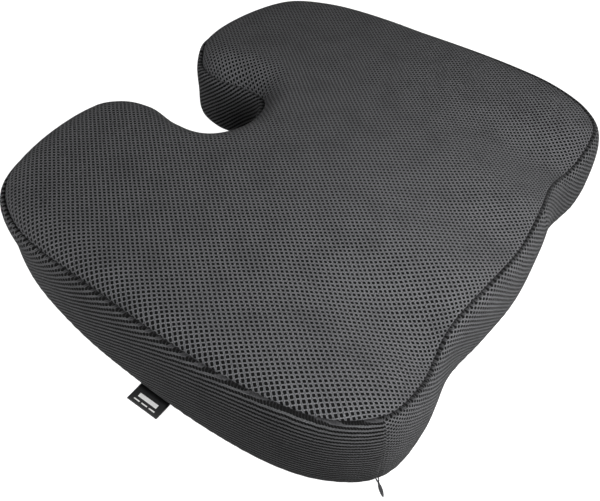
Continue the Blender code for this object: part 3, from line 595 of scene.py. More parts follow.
def rounded(values):
    """Catmull-Rom samples along axis 1, BAND_STEPS to a span."""
    padded = np.concatenate([values[:, :1], values, values[:, -1:]], axis=1)
    out = []
    for k in range(values.shape[1] - 1):
        p0, p1, p2, p3 = (padded[:, k + j] for j in range(4))
        for i in range(BAND_STEPS):
            out.append(catmull_rom(p0, p1, p2, p3, i / BAND_STEPS))
    out.append(values[:, -1])
    return np.stack(out, axis=1)


def rib_changes(s):
    """Skew and fineness of the band's weave, by distance past the near corner's join."""
    past = np.mod(s - length_near(JOIN_CORNER) + TOTAL * 0.5, TOTAL) - TOTAL * 0.5
    skew = np.where(past < 0.0, np.interp(past, SKEW_PLACES, RIB_SKEWS), 0.0)
    return skew, np.interp(past, FINE_PLACES, FINE_SCALES)


def band_cover(name, start, stop):
    """Side band from arc length start forward to stop, tucked in at both ends."""
    length = (stop - start) % TOTAL
    count = int(length / 1.6)
    # closer columns at both joins, where the fabric turns in
    t = np.linspace(0.0, 1.0, count)
    s = start + length * t
    close = np.array([0.35, 0.8, 1.3, 2.2])
    s = np.sort(np.concatenate([s, start + close, start + length - close]))
    p, n, inset, height = band_controls(s)
    inset = rounded(inset)
    height = rounded(height)
    wave = puckers(s, 1.1)
    base_wave = puckers(s, 2.6)
    top = seam_height(p)
    under_top = top[:, None] - height
    inset = inset + 0.1 * wave[:, None] * np.exp(-((under_top - 5.0) / 4.5) ** 2)
    inset = inset + 0.2 * base_wave[:, None] * np.exp(-((height - 11.0) / 4.0) ** 2)
    inset = inset - 0.35 * np.sin(s * 0.031)[:, None] * np.exp(-((height - 30.0) / 16.0) ** 2)
    end_gap = np.minimum(s - start, start + length - s)
    tuck = JOIN_TUCK * np.exp(-(end_gap / JOIN_WIDTH) ** 2)
    inset = inset + tuck[:, None]
    run = np.hypot(np.diff(inset, axis=1), np.diff(height, axis=1))
    below = np.cumsum(run, axis=1)
    run = run * (1.0 + (GATHER - 1.0) * np.exp(-(below / GATHER_DEPTH) ** 2))
    down = np.concatenate([np.zeros((len(s), 1)), np.cumsum(run, axis=1)], axis=1)
    down = down - (down[:, -1:] * 0.5)
    x = p[:, 0][:, None] - n[:, 0][:, None] * inset
    y = p[:, 1][:, None] - n[:, 1][:, None] * inset
    verts = np.stack([x, y, height], axis=2).reshape(-1, 3)
    skew, finer = rib_changes(s)
    slip = np.concatenate([[0.0], np.cumsum(np.diff(s) * skew[1:])])
    course = s[0] + np.concatenate([[0.0], np.cumsum(np.diff(s) * 0.5 * (1.0 + finer[1:]))])
    across = down * finer[:, None] - slip[:, None]
    uvs = np.stack([across, np.broadcast_to(course[:, None], across.shape)], axis=2).reshape(-1, 2)
    lean = zone_weights(p) @ np.array(BAND_SLANT)
    lean = lean + (CORNER_SLANT - lean) * skew / RIB_SKEWS[-1]
    slant = np.broadcast_to(lean[:, None], down.shape)
    # painted shade of the crease: the band is darkened just below the top seam
    depth = np.concatenate([np.zeros((len(s), 1)), below], axis=1)
    clear_of_shade = smooth((depth - CREASE_SHADE_START) / CREASE_SHADE_FADE)
    faces = grid_faces(len(s), inset.shape[1], False)
    return mesh_object(name, verts, faces, uvs, slant.reshape(-1), clear_of_shade.reshape(-1))


def channel_lift(y):
    """Lift of the underside at the zip; the strip in front of it stays up."""
    away = y - ZIP_Y
    return CHANNEL_Z * np.clip(1.0 - (away - CHANNEL_FLAT) / CHANNEL_RAMP, 0.0, 1.0)


def base_points():
    """Plan points of the underside: rolled rings, then filler with two rows at the zip."""
    s = ring_lengths()
    p, n = at_length(s)
    shift = base_shift(p)[:, None]
    rings = [p - n * (shift * (1.0 - z / BASE_SHIFT_HEIGHT) + inset) for inset, z in BASE_ROLL]
    filler = filler_points(BASE_SPACING, BASE_ROLL[-1][0] + BASE_SPACING * 0.5, base_shift)
    rows = []
    for y in (ZIP_Y + CHANNEL_FLAT, ZIP_Y + CHANNEL_FLAT + CHANNEL_RAMP):
        x = np.arange(-180.0, 180.1, 4.0)
        rows.append(np.stack([x, np.full(len(x), y)], axis=1))
    clear = np.abs(filler[:, 1] - (ZIP_Y + 8.0)) > 16.0
    return rings, np.vstack([filler[clear]] + rows)


def zip_cut(side):
    """Edge of one base panel along the zip: out at the ends, back round the slot."""
    near = ZIP_Y + side * PANEL_GAP
    slot = ZIP_Y + side * SLOT_HALF
    xs = [-SLOT_END, -SLOT_END, -SLOT_END + 1.2]
    ys = [near, slot - side * 1.2, slot]
    line = list(zip(xs, ys))
    line += [(x, slot) for x in np.arange(-SLOT_END + 6.0, SLOT_END - 5.0, 5.0)]
    line += [(-x, y) for x, y in reversed(list(zip(xs, ys)))]
    return line


def base_cover(name, side):
    """One of the two base panels: side 1 behind the zip, -1 in front of it."""
    rings, filler = base_points()
    border = ZIP_Y + side * PANEL_GAP
    plan = []
    for ring in rings:
        plan += list(ring[side * (ring[:, 1] - border) > 0.4])
    kept = np.nonzero(side * (rings[0][:, 1] - border) > 0.4)[0]
    gap = side * (filler[:, 1] - (ZIP_Y + side * SLOT_HALF)) > 1.5
    plan += list(filler[gap])
    # the boundary: the outermost ring's kept part, closed along the zip
    breaks = np.nonzero(np.diff(kept) > 1)[0]
    if len(breaks):
        order = list(range(breaks[0] + 1, len(kept))) + list(range(0, breaks[0] + 1))
    else:
        order = list(range(len(kept)))
    cut = zip_cut(side)
    last = plan[order[-1]]
    if abs(cut[0][0] - last[0]) > abs(cut[-1][0] - last[0]):
        cut = list(reversed(cut))
    ends = []
    for index in (order[-1], order[0]):
        x = plan[index][0]
        ends.append((x - math.copysign(0.4, x), border))
    line = [ends[0]] + cut + [ends[1]]
    start = len(plan)
    plan += [np.array(q) for q in line]
    boundary = order + list(range(start, start + len(line)))
    tri_plan, faces, _ = triangulate(np.array(plan), boundary)
    near = edge_field(tri_plan, base_shift)[0]
    insets = [inset for inset, _ in BASE_ROLL]
    z = np.interp(near, insets, [height for _, height in BASE_ROLL])
    z = np.maximum(z, channel_lift(tri_plan[:, 1]))
    verts = np.column_stack([tri_plan, z])
    return mesh_object(name, verts, [tuple(reversed(f)) for f in faces], tri_plan)


def sleeve_faces(start, rows, sides, closed=False):
    """Quads round a tube of rows rings whose vertices begin at start."""
    faces = []
    for k in range(rows if closed else rows - 1):
        m = (k + 1) % rows
        for j in range(sides):
            i = (j + 1) % sides
            faces.append((start + k * sides + j, start + k * sides + i,
                          start + m * sides + i, start + m * sides + j))
    return faces


def tube_object(name, paths, radius, sides, closed=False):
    """Round tubes along lists of points, all in one mesh; open ends are narrowed."""
    verts, faces = [], []
    for path in paths:
        path = np.asarray(path, float)
        count = len(path)
        if closed:
            run = np.roll(path, -1, axis=0) - np.roll(path, 1, axis=0)
        else:
            run = np.gradient(path, axis=0)
        run = run / np.linalg.norm(run, axis=1)[:, None]
        up = np.tile(np.array([[0.0, 0.0, 1.0]]), (count, 1))
        steep = np.abs(run[:, 2]) > 0.9
        up[steep] = (1.0, 0.0, 0.0)
        side = np.cross(run, up)
        side = side / np.linalg.norm(side, axis=1)[:, None]
        lift = np.cross(side, run)
        size = np.full(count, radius)
        if not closed:
            size[0] = size[-1] = radius * TUBE_END
        start = len(verts)
        for k in range(count):
            for j in range(sides):
                a = 2.0 * math.pi * j / sides
                verts.append(path[k] + size[k] * (side[k] * math.cos(a) + lift[k] * math.sin(a)))
        faces += sleeve_faces(start, count, sides, closed)
        if not closed:
            faces.append(tuple(start + j for j in reversed(range(sides))))
            end = start + (count - 1) * sides
            faces.append(tuple(end + j for j in range(sides)))
    return mesh_object(name, verts, faces)


def stitches(name, line, pitch, radius, dip):
    """Lockstitches along a polyline: short bent threads, their ends sunk by dip."""
    line = np.asarray(line, float)
    run = np.linalg.norm(np.diff(line, axis=0), axis=1)
    mark = np.concatenate([[0.0], np.cumsum(run)])
    count = int(mark[-1] / pitch)
    paths = []
    for k in range(count):
        a = (k + 0.5 - STITCH_FILL * 0.5) * mark[-1] / count
        b = (k + 0.5 + STITCH_FILL * 0.5) * mark[-1] / count
        t = np.linspace(a, b, 5)
        pts = np.stack([np.interp(t, mark, line[:, j]) for j in range(3)], axis=1)
        pts[:, 2] -= dip * np.array([1.0, 0.25, 0.0, 0.25, 1.0])
        paths.append(pts)
    return tube_object(name, paths, radius, STITCH_SIDES)


# ================================================================ materials
class Tree:
    """Small builder for a material's nodes."""

    def __init__(self, name, roughness, metallic=0.0):
        self.material = bpy.data.materials.new(name)
        self.material.use_nodes = True
        self.nodes = self.material.node_tree.nodes
        self.links = self.material.node_tree.links
        self.shader = self.nodes["Principled BSDF"]
        self.shader.inputs["Roughness"].default_value = roughness
        self.shader.inputs["Metallic"].default_value = metallic

    def put(self, socket, value):
        if isinstance(value, bpy.types.NodeSocket):
            self.links.new(value, socket)
        else:
            socket.default_value = value

    def math(self, operation, a, b=0.0, c=0.0):
        node = self.nodes.new("ShaderNodeMath")
        node.operation = operation
        for socket, value in zip(node.inputs, (a, b, c)):
            self.put(socket, value)
        return node.outputs[0]

    def uv(self, layer):
        node = self.nodes.new("ShaderNodeUVMap")
        node.uv_map = layer
        split = self.nodes.new("ShaderNodeSeparateXYZ")
        self.links.new(node.outputs["UV"], split.inputs[0])
        return node.outputs["UV"], split.outputs["X"], split.outputs["Y"]

    def place(self):
        node = self.nodes.new("ShaderNodeTexCoord")
        return node.outputs["Object"]

    def noise(self, vector, scale, detail=2.0, roughness=0.5):
        node = self.nodes.new("ShaderNodeTexNoise")
        self.links.new(vector, node.inputs["Vector"])
        node.inputs["Scale"].default_value = scale
        node.inputs["Detail"].default_value = detail
        node.inputs["Roughness"].default_value = roughness
        return node.outputs["Fac"]

    def ramp(self, value, low, high, to_low=0.0, to_high=1.0):
        node = self.nodes.new("ShaderNodeMapRange")
        node.interpolation_type = "SMOOTHSTEP"
        self.put(node.inputs["Value"], value)
        self.put(node.inputs["From Min"], low)
        self.put(node.inputs["From Max"], high)
        self.put(node.inputs["To Min"], to_low)
        self.put(node.inputs["To Max"], to_high)
        return node.outputs["Result"]

    def mix(self, factor, a, b):
        node = self.nodes.new("ShaderNodeMix")
        node.data_type = "RGBA"
        self.put(node.inputs["Factor"], factor)
        for socket, value in ((node.inputs["A"], a), (node.inputs["B"], b)):
            if isinstance(value, tuple):
                value = (value[0], value[1], value[2], 1.0)
            self.put(socket, value)
        return node.outputs["Result"]

    def bump(self, height, distance):
        node = self.nodes.new("ShaderNodeBump")
        node.inputs["Strength"].default_value = 1.0
        node.inputs["Distance"].default_value = distance
        self.links.new(height, node.inputs["Height"])
        self.links.new(node.outputs["Normal"], self.shader.inputs["Normal"])

    def colour(self, value):
        self.put(self.shader.inputs["Base Color"], value)


def mesh_fabric(name, yarn, openings):
    """Warp-knit spacer mesh: holes on a centred lattice between knitted ridges.

    A lean above 0.5 fades the yarns of the falling diagonal, which leaves ribs
    that rise along the strip; one below 0.5 does the opposite.
    """
    tree = Tree(name, MESH_ROUGHNESS)
    uv, u, v = tree.uv("weave")
    _, slant, clear_of_shade = tree.uv("lean")
    drift = tree.noise(uv, 0.11, 2.0)
    u = tree.math("MULTIPLY_ADD", drift, 1.1, u)
    wobble = tree.noise(uv, 0.9, 1.0)
    v = tree.math("MULTIPLY_ADD", wobble, 0.55, v)
    across = tree.math("MULTIPLY", u, 2.0 * math.pi / WEAVE_X)
    along = tree.math("MULTIPLY", v, 2.0 * math.pi / WEAVE_Y)
    rising = tree.math("COSINE", tree.math("ADD", across, along))
    falling = tree.math("COSINE", tree.math("SUBTRACT", across, along))
    other = tree.math("SUBTRACT", 1.0, slant)
    blend = tree.math("MULTIPLY_ADD", rising, slant, tree.math("MULTIPLY", falling, other))
    up = tree.math("MAXIMUM", tree.math("MULTIPLY_ADD", slant, 2.0, -1.0), 0.0)
    down = tree.math("MAXIMUM", tree.math("MULTIPLY_ADD", slant, -2.0, 1.0), 0.0)
    rising = tree.math("MULTIPLY_ADD", rising, tree.math("SUBTRACT", 1.0, down), down)
    falling = tree.math("MULTIPLY_ADD", falling, tree.math("SUBTRACT", 1.0, up), up)
    net = tree.math("MINIMUM", rising, falling)
    blend = tree.math("MULTIPLY", blend, 1.0 - NET_SHARE)
    lattice = tree.math("MULTIPLY_ADD", net, NET_SHARE, blend)
    opening = tree.ramp(lattice, openings[0], openings[1])
    rim = tree.ramp(lattice, RIM_START, openings[0])
    # fine yarns that run round the openings, and single bright filaments: painted highlight lines
    # and glints, which also raise the bump
    ply = tree.math("SINE", tree.math("MULTIPLY", tree.math("ADD", lattice, v), 9.5))
    ply = tree.math("MULTIPLY_ADD", ply, 0.5, 0.5)
    fuzz_and_glint = tree.ramp(tree.noise(uv, 1.3, 3.0, 0.75), 0.32, 0.7)
    patch = tree.noise(uv, 0.035, 2.0)
    light = tree.math("MULTIPLY_ADD", rim, LIGHT_RIM, tree.math("MULTIPLY", fuzz_and_glint, LIGHT_GLINT))
    light = tree.math("MULTIPLY_ADD", ply, LIGHT_PLY, light)
    # the knit's ridges are real, but its bright rims, glints and ply lines are painted highlights
    # mixed from SHADE up to the yarn colour
    knit = tree.mix(light, SHADE, yarn)
    cool = tuple(c * k for c, k in zip(SHADE, (0.95, 1.0, 1.12)))
    knit = tree.mix(tree.ramp(patch, 0.4, 0.75, 0.0, 0.2), knit, cool)
    # painted shade darkens the knit in the seam's crease
    knit = tree.mix(clear_of_shade, CREASE_SHADE, knit)
    # the openings are real, but their near-black is painted shade in the pits
    tree.colour(tree.mix(opening, knit, HOLE_SHADE))
    height = tree.math("MULTIPLY_ADD", rim, 0.35, tree.math("SUBTRACT", 1.0, opening))
    height = tree.math("MULTIPLY_ADD", ply, 0.1, height)
    height = tree.math("MULTIPLY_ADD", fuzz_and_glint, 0.2, height)
    tree.bump(height, MESH_BUMP)
    tree.shader.inputs["Sheen Weight"].default_value = MESH_SHEEN
    tree.shader.inputs["Sheen Roughness"].default_value = MESH_SHEEN_ROUGHNESS
    tree.shader.inputs["Specular IOR Level"].default_value = MESH_SPECULAR
    return tree.material


def plain_cloth(name, dark, light, scale, roughness, bump):
    """Close woven or knitted cloth seen only from near by."""
    tree = Tree(name, roughness)
    where = tree.place()
    split = tree.nodes.new("ShaderNodeSeparateXYZ")
    tree.links.new(where, split.inputs[0])
    a = tree.math("SINE", tree.math("MULTIPLY", split.outputs["X"], scale))
    b = tree.math("SINE", tree.math("MULTIPLY", split.outputs["Y"], scale))
    weave = tree.math("MULTIPLY_ADD", tree.math("MULTIPLY", a, b), 0.5, 0.5)
    cloud = tree.noise(where, 60.0, 3.0)
    tone = tree.math("MULTIPLY_ADD", cloud, 0.5, tree.math("MULTIPLY", weave, 0.5))
    tree.colour(tree.mix(tone, dark, light))
    tree.bump(weave, bump)
    return tree.material


def speckled(name, dark, light, scale, roughness, bump, metallic=0.0):
    """Plain finish with fine speckle, for thread, foam, rubber, nylon and metal."""
    tree = Tree(name, roughness, metallic)
    where = tree.place()
    grain = tree.noise(where, scale, 4.0, 0.6)
    tree.colour(tree.mix(tree.ramp(grain, 0.35, 0.7), dark, light))
    tree.bump(grain, bump)
    return tree.material


# ================================================================ surroundings
def remove_defaults():
    for name in ("Cube", "Light", "Camera"):
        old = bpy.data.objects.get(name)
        if old is not None and "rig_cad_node" not in old:
            bpy.data.objects.remove(old, do_unlink=True)


CAMERA_AZIMUTH = math.radians(-56.5)
CAMERA_ELEVATION = math.radians(45.3)
CAMERA_ROLL = math.radians(2.95)
CAMERA_DISTANCE = 565.4
CAMERA_TARGET = (-53.4, -23.8, 30.0)
CAMERA_FOCAL_PX = 701.3
CAMERA_CENTRE_PX = (302.8, 232.5)
FRAME_PX = (600.0, 501.0)
SENSOR = 36.0
FLOOR_RADIUS = 3.0
FLOOR_SEGMENTS = 96
# how the floor's rim turns up into a bowl: rise and spread of each step, in metres
FLOOR_STEPS = ((0.25, 0.7), (0.9, 0.55), (1.6, 0.25), (3.0, 0.0))
FLOOR_GREY = 0.25
FLOOR_GLOW = 0.98
FLOOR_ROUGHNESS = 0.9
SKY_STRENGTH = 0.21
# name, place, aim, size and power of each lamp, in metres and watts
SOFTBOXES = [("front_softbox", (-0.08, -0.43, 0.38), (-0.02, -0.05, 0.04), 0.35, 6.5),
             ("side_softbox", (-1.05, 0.5, 0.36), (-0.2, 0.0, 0.03), 0.6, 12.5)]


def make_camera():
    data = bpy.data.cameras.new("view_camera")
    cam = bpy.data.objects.new("view_camera", data)
    bpy.context.scene.collection.objects.link(cam)
    flat = math.cos(CAMERA_ELEVATION)
    back = Vector((math.sin(CAMERA_AZIMUTH) * flat, -math.cos(CAMERA_AZIMUTH) * flat,
                   math.sin(CAMERA_ELEVATION)))
    cam.location = (Vector(CAMERA_TARGET) + back * CAMERA_DISTANCE) * MM
    cam.rotation_mode = "QUATERNION"
    roll = Matrix.Rotation(CAMERA_ROLL, 3, "Z").to_quaternion()
    cam.rotation_quaternion = (-back).to_track_quat("-Z", "Y") @ roll
    data.sensor_width = SENSOR
    data.lens = CAMERA_FOCAL_PX / FRAME_PX[0] * SENSOR
    data.shift_x = (FRAME_PX[0] * 0.5 - CAMERA_CENTRE_PX[0]) / FRAME_PX[0]
    data.shift_y = (CAMERA_CENTRE_PX[1] - FRAME_PX[1] * 0.5) / FRAME_PX[0]
    data.clip_start = 0.01
    bpy.context.scene.camera = cam


def area_light(name, at, aim, size, power):
    data = bpy.data.lights.new(name, "AREA")
    data.shape = "DISK"
    data.size = size
    data.energy = power
    obj = bpy.data.objects.new(name, data)
    bpy.context.scene.collection.objects.link(obj)
    obj.location = at
    way = Vector(aim) - Vector(at)
    obj.rotation_mode = "QUATERNION"
    obj.rotation_quaternion = way.to_track_quat("-Z", "Y")
    obj.visible_camera = False


def make_stage():
    """Pale glowing floor that turns up into a bowl, clear from below, and two lamps."""
    tree = Tree("pale_floor", FLOOR_ROUGHNESS)
    tree.colour((FLOOR_GREY, FLOOR_GREY, FLOOR_GREY, 1.0))
    tree.shader.inputs["Emission Color"].default_value = (1.0, 1.0, 1.0, 1.0)
    tree.shader.inputs["Emission Strength"].default_value = FLOOR_GLOW
    tree.shader.inputs["Specular IOR Level"].default_value = 0.0
    facing = tree.nodes.new("ShaderNodeNewGeometry")
    clear = tree.nodes.new("ShaderNodeBsdfTransparent")
    switch = tree.nodes.new("ShaderNodeMixShader")
    tree.links.new(facing.outputs["Backfacing"], switch.inputs["Fac"])
    tree.links.new(tree.shader.outputs["BSDF"], switch.inputs[1])
    tree.links.new(clear.outputs["BSDF"], switch.inputs[2])
    tree.links.new(switch.outputs["Shader"], tree.nodes["Material Output"].inputs["Surface"])
    mesh = bpy.data.meshes.new("floor")
    bm = bmesh.new()
    bmesh.ops.create_circle(bm, cap_ends=True, radius=FLOOR_RADIUS, segments=FLOOR_SEGMENTS)
    rim = [e for e in bm.edges if e.is_boundary]
    for rise, out in FLOOR_STEPS:
        grown = bmesh.ops.extrude_edge_only(bm, edges=rim)
        rim = [g for g in grown["geom"] if isinstance(g, bmesh.types.BMEdge)]
        for v in {v for e in rim for v in e.verts}:
            v.co += Vector((v.co.x, v.co.y, 0.0)).normalized() * out
            v.co.z += rise
    bmesh.ops.recalc_face_normals(bm, faces=bm.faces)
    if sum(f.normal.z for f in bm.faces) < 0.0:
        bmesh.ops.reverse_faces(bm, faces=bm.faces)
    for f in bm.faces:
        f.smooth = True
    bm.to_mesh(mesh)
    bm.free()
    floor = bpy.data.objects.new("floor", mesh)
    bpy.context.scene.collection.objects.link(floor)
    floor.visible_diffuse = False
    floor.visible_glossy = False
    mesh.materials.append(tree.material)
    world = bpy.data.worlds.new("studio")
    bpy.context.scene.world = world
    world.use_nodes = True
    sky = world.node_tree.nodes["Background"]
    sky.inputs["Color"].default_value = (1.0, 1.0, 1.0, 1.0)
    sky.inputs["Strength"].default_value = SKY_STRENGTH
    for softbox in SOFTBOXES:
        area_light(*softbox)
    bpy.context.scene.view_settings.view_transform = "Standard"


# ================================================================ soft parts
def make_foam(material):
    """Moulded foam core: the CAD solid's mesh, welded and shaded smooth."""
    source = frame["nodes"]["foam_core"]
    mesh = source.data.copy()
    obj = bpy.data.objects.new("foam_core_moulded", mesh)
    bpy.context.scene.collection.objects.link(obj)
    bm = bmesh.new()
    bm.from_mesh(mesh)
    bmesh.ops.remove_doubles(bm, verts=bm.verts, dist=1e-6)
    bm.to_mesh(mesh)
    bm.free()
    mesh.polygons.foreach_set("use_smooth", np.ones(len(mesh.polygons), dtype=bool))
    dress(obj, "cushion", "foam", material, "foam_core")


def seam_line(inset, lift):
    s = np.arange(SEAM_POINTS + 1) * (TOTAL / SEAM_POINTS)
    p, n = at_length(s)
    inward = inset + seam_shift(p)[:, None]
    return np.column_stack([p - n * inward, seam_height(p) + lift])


def base_seam_line(inset, z):
    s = np.arange(SEAM_POINTS + 1) * (TOTAL / SEAM_POINTS)
    p, n = at_length(s)
    inward = inset + base_shift(p)[:, None] * (1.0 - z / BASE_SHIFT_HEIGHT)
    return np.column_stack([p - n * inward, np.full(len(s), z)])


def join_line(s):
    p, n, inset, height = band_controls(np.array([s]))
    inset = rounded(inset)[0] + JOIN_TUCK * 0.75
    height = rounded(height)[0]
    keep = slice(2 * BAND_STEPS + 2, -2 * BAND_STEPS)
    x = p[0, 0] - n[0, 0] * inset
    y = p[0, 1] - n[0, 1] * inset
    return np.column_stack([x, y, height])[keep]


def zip_row(y, z):
    return [(-STITCH_END, y, z), (STITCH_END, y, z)]


def make_coil(name, side, material, node):
    """Nylon coil: one flattened spiral of teeth along the tape."""
    turns = int(2 * COIL_END / COIL_PITCH)
    t = np.arange(turns * COIL_STEPS + 1) / COIL_STEPS
    angle = 2.0 * math.pi * t
    x = -COIL_END + t * COIL_PITCH + (COIL_STAGGER if side > 0 else 0.0)
    x = np.clip(x, -COIL_END, COIL_END)
    y = ZIP_Y + side * (COIL_MIDDLE - COIL_REACH * np.cos(angle))
    z = COIL_Z + COIL_RISE * np.sin(angle)
    teeth = tube_object(name, [np.column_stack([x, y, z])], COIL_WIRE, COIL_SIDES)
    dress(teeth, "cushion", "coil", material, node)


def make_pull(material):
    """Wire loop through the slider's bridge, a neck, and a slim leaf."""
    place = Matrix.Translation(Vector(HINGE))
    place = place @ Matrix.Rotation(PULL_YAW, 4, "Z") @ Matrix.Rotation(PULL_DROP, 4, "Y")
    loop = [(0.0, 0.0)] + PULL_HALF + [(x, -y) for x, y in reversed(PULL_HALF)]
    pts = [place @ Vector((x, y, 0.0)) for x, y in loop]
    ring = tube_object("zip_pull_loop", [pts], PULL_WIRE, PULL_WIRE_SIDES, closed=True)
    verts = []
    for x, wide, thick in PULL_LEAF:
        for j in range(LEAF_SIDES):
            a = 2.0 * math.pi * j / LEAF_SIDES
            verts.append(place @ Vector((x, wide * math.cos(a), thick * math.sin(a))))
    faces = sleeve_faces(0, len(PULL_LEAF), LEAF_SIDES)
    faces.append(tuple(reversed(range(LEAF_SIDES))))
    faces.append(tuple((len(PULL_LEAF) - 1) * LEAF_SIDES + j for j in range(LEAF_SIDES)))
    leaf = mesh_object("zip_pull_leaf", verts, faces)
    dress(leaf, "pull", "zip_metal", material)
    dress(ring, "pull", "zip_metal", material, "zip_pull_tab")


def make_dots(material):
    """Raised grip dots on the underside; their tips stand on the floor."""
    pts = filler_points(DOT_SPACING, DOT_MARGIN, base_shift)
    pts = pts[pts[:, 1] > ZIP_Y + CHANNEL_FLAT + CHANNEL_RAMP + DOT_ZIP_GAP]
    sides = DOT_SIDES
    rings = [(1.55, BASE_FLAT_Z + 0.05), (1.35, 0.25), (0.8, 0.06)]
    verts, faces = [], []
    for x, y in pts:
        start = len(verts)
        for radius, z in rings:
            for j in range(sides):
                a = 2.0 * math.pi * j / sides
                verts.append((x + radius * math.cos(a), y + radius * math.sin(a), z))
        verts.append((x, y, 0.0))
        for k in range(len(rings) - 1):
            for j in range(sides):
                i = (j + 1) % sides
                faces.append((start + k * sides + j, start + (k + 1) * sides + j,
                              start + (k + 1) * sides + i, start + k * sides + i))
        tip = start + len(rings) * sides
        last = start + (len(rings) - 1) * sides
        for j in range(sides):
            faces.append((last + j, tip, last + (j + 1) % sides))
        faces.append(tuple(start + j for j in range(sides)))
    dress(mesh_object("grip_dots", verts, faces), "cushion", "cover_base", material)


def make_label(material):
    """Folded label at the near side; returns the x of the cushion's edge there."""
    edge = at_length(np.array([length_near((-224.0, LABEL_Y))]))[0][0, 0]
    section = LABEL_TOP + LABEL_FOLD + LABEL_UNDER
    verts, uvs = [], []
    for k in range(LABEL_ROWS + 1):
        y = LABEL_Y + LABEL_WIDTH * (k / LABEL_ROWS - 0.5)
        for inset, z in section:
            verts.append((edge + inset, y, z))
            uvs.append((inset, y))
    faces = grid_faces(LABEL_ROWS + 1, len(section), False)
    obj = thicken(mesh_object("side_label_folded", verts, faces, uvs), LABEL_THICK)
    dress(obj, "cushion", "label", material, "side_label")
    return edge


def make_label_mark(edge, material):
    """Plain woven bar over three short dashes, raised a little on the label."""
    insets = [inset for inset, _ in reversed(LABEL_TOP)]
    heights = [z for _, z in reversed(LABEL_TOP)]
    verts, faces = [], []
    for inset, along, half_deep, half_long in LABEL_MARKS:
        start = len(verts)
        for level in (MARK_LOW, MARK_HIGH):
            for deep, far in ((-1.0, -1.0), (1.0, -1.0), (1.0, 1.0), (-1.0, 1.0)):
                x = inset + half_deep * deep
                y = LABEL_Y + along + half_long * far
                verts.append((edge + x, y, np.interp(x, insets, heights) + level))
        faces += [tuple(start + k for k in quad) for quad in BAR_FACES]
    mark = mesh_object("label_woven_mark", verts, faces)
    mark.data.shade_flat()
    dress(mark, "cushion", "label", material)


# ================================================================ build
remove_defaults()
make_camera()
make_stage()

TOP_FABRIC = mesh_fabric("spacer_mesh_top", TOP_YARN, TOP_OPENINGS)
BAND_FABRIC = mesh_fabric("spacer_mesh_band", YARN, BAND_OPENINGS)
# dark and light colour, scale of the pattern, roughness, depth of the bump in metres
BASE_CLOTH = plain_cloth(
    "base_cloth", (0.016, 0.016, 0.018), (0.06, 0.06, 0.064), 5200.0, 0.85, 0.0001)
RUBBER = speckled(
    "grip_rubber", (0.012, 0.012, 0.013), (0.03, 0.03, 0.032), 900.0, 0.6, 0.00002)
FOAM = speckled("memory_foam", (0.62, 0.59, 0.5), (0.8, 0.77, 0.68), 1200.0, 0.95, 0.0002)
THREAD = speckled(
    "thread", (0.015, 0.015, 0.017), (0.06, 0.06, 0.065), 4000.0, 0.7, 0.00005)
TAPE = plain_cloth(
    "zip_tape", (0.014, 0.014, 0.0155), (0.05, 0.05, 0.054), 9000.0, 0.8, 0.00008)
NYLON = speckled(
    "zip_nylon", (0.012, 0.012, 0.013), (0.025, 0.025, 0.027), 2000.0, 0.35, 0.00001)
METAL = speckled(
    "zip_metal", (0.02, 0.02, 0.022), (0.09, 0.09, 0.095), 1500.0, 0.32, 0.00001, 0.7)
MARK_THREAD = speckled(
    "mark_thread", (0.8, 0.8, 0.79), (0.95, 0.95, 0.94), 3000.0, 0.7, 0.00003)
LABEL_CLOTH = plain_cloth(
    "label_satin", (0.006, 0.006, 0.007), (0.02, 0.02, 0.021), 12000.0, 0.55, 0.00004)

CORNER_S = length_near(JOIN_CORNER)
BUMP_S = length_near(JOIN_BUMP)

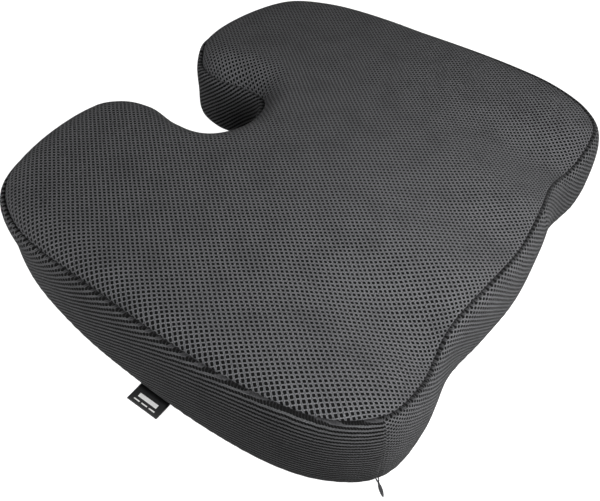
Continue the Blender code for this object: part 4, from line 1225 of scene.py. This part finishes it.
make_foam(FOAM)
top = thicken(top_cover(), TOP_THICK)
dress(top, "cushion", "cover_top", TOP_FABRIC, "top_panel")
main_strip = band_cover("cover_band_main", BUMP_S + JOIN_GAP, CORNER_S - JOIN_GAP)
band_main = thicken(main_strip, BAND_THICK)
dress(band_main, "cushion", "cover_band", BAND_FABRIC, "band_main")
front_strip = band_cover("cover_band_front", CORNER_S + JOIN_GAP, BUMP_S - JOIN_GAP)
band_front = thicken(front_strip, BAND_THICK)
dress(band_front, "cushion", "cover_band", BAND_FABRIC, "band_front")
base_main = thicken(base_cover("cover_base_main", 1.0), BASE_THICK)
dress(base_main, "cushion", "cover_base", BASE_CLOTH, "base_panel_main")
base_front = thicken(base_cover("cover_base_front", -1.0), BASE_THICK)
dress(base_front, "cushion", "cover_base", BASE_CLOTH, "base_panel_front")

SEWING = [
    ("top_seam", seam_line(*TOP_STITCH_PLACE), SEAM_PITCH, STITCH_DIP),
    ("base_seam", base_seam_line(*BASE_STITCH_PLACE), SEAM_PITCH, -STITCH_DIP),
    ("corner_join", join_line(CORNER_S), JOIN_PITCH, 0.0),
    ("bump_join", join_line(BUMP_S), JOIN_PITCH, 0.0),
]
for word, line, pitch, dip in SEWING:
    sewn = stitches(word + "_stitches", line, pitch, SEAM_THREAD, dip)
    dress(sewn, "cushion", "thread", THREAD, word + "_thread")
for side, word in ((-1.0, "front"), (1.0, "rear")):
    row = zip_row(ZIP_Y + side * (SLOT_HALF + TOPSTITCH_OFFSET), CHANNEL_Z - TOPSTITCH_LOW)
    sewn = stitches("zip_stitches_" + word, row, JOIN_PITCH, ZIP_THREAD, -STITCH_DIP)
    dress(sewn, "cushion", "thread", THREAD, "zip_topstitch_" + word)
    make_coil("coil_teeth_" + word, side, NYLON, "zip_coil_" + word)
make_pull(METAL)
make_dots(RUBBER)
make_label_mark(make_label(LABEL_CLOTH), MARK_THREAD)

CAD_LOOKS = (("zip_tape_front", TAPE), ("zip_tape_rear", TAPE), ("zip_stop_near", METAL),
             ("zip_stop_far", METAL), ("zip_slider", METAL))
for node, material in CAD_LOOKS:
    part = frame["nodes"][node]
    part.data.materials.clear()
    part.data.materials.append(material)
    if material is METAL:
        edge = part.modifiers.new("worn_edges", "BEVEL")
        edge.width = METAL_ROUNDING * MM
        edge.segments = 2
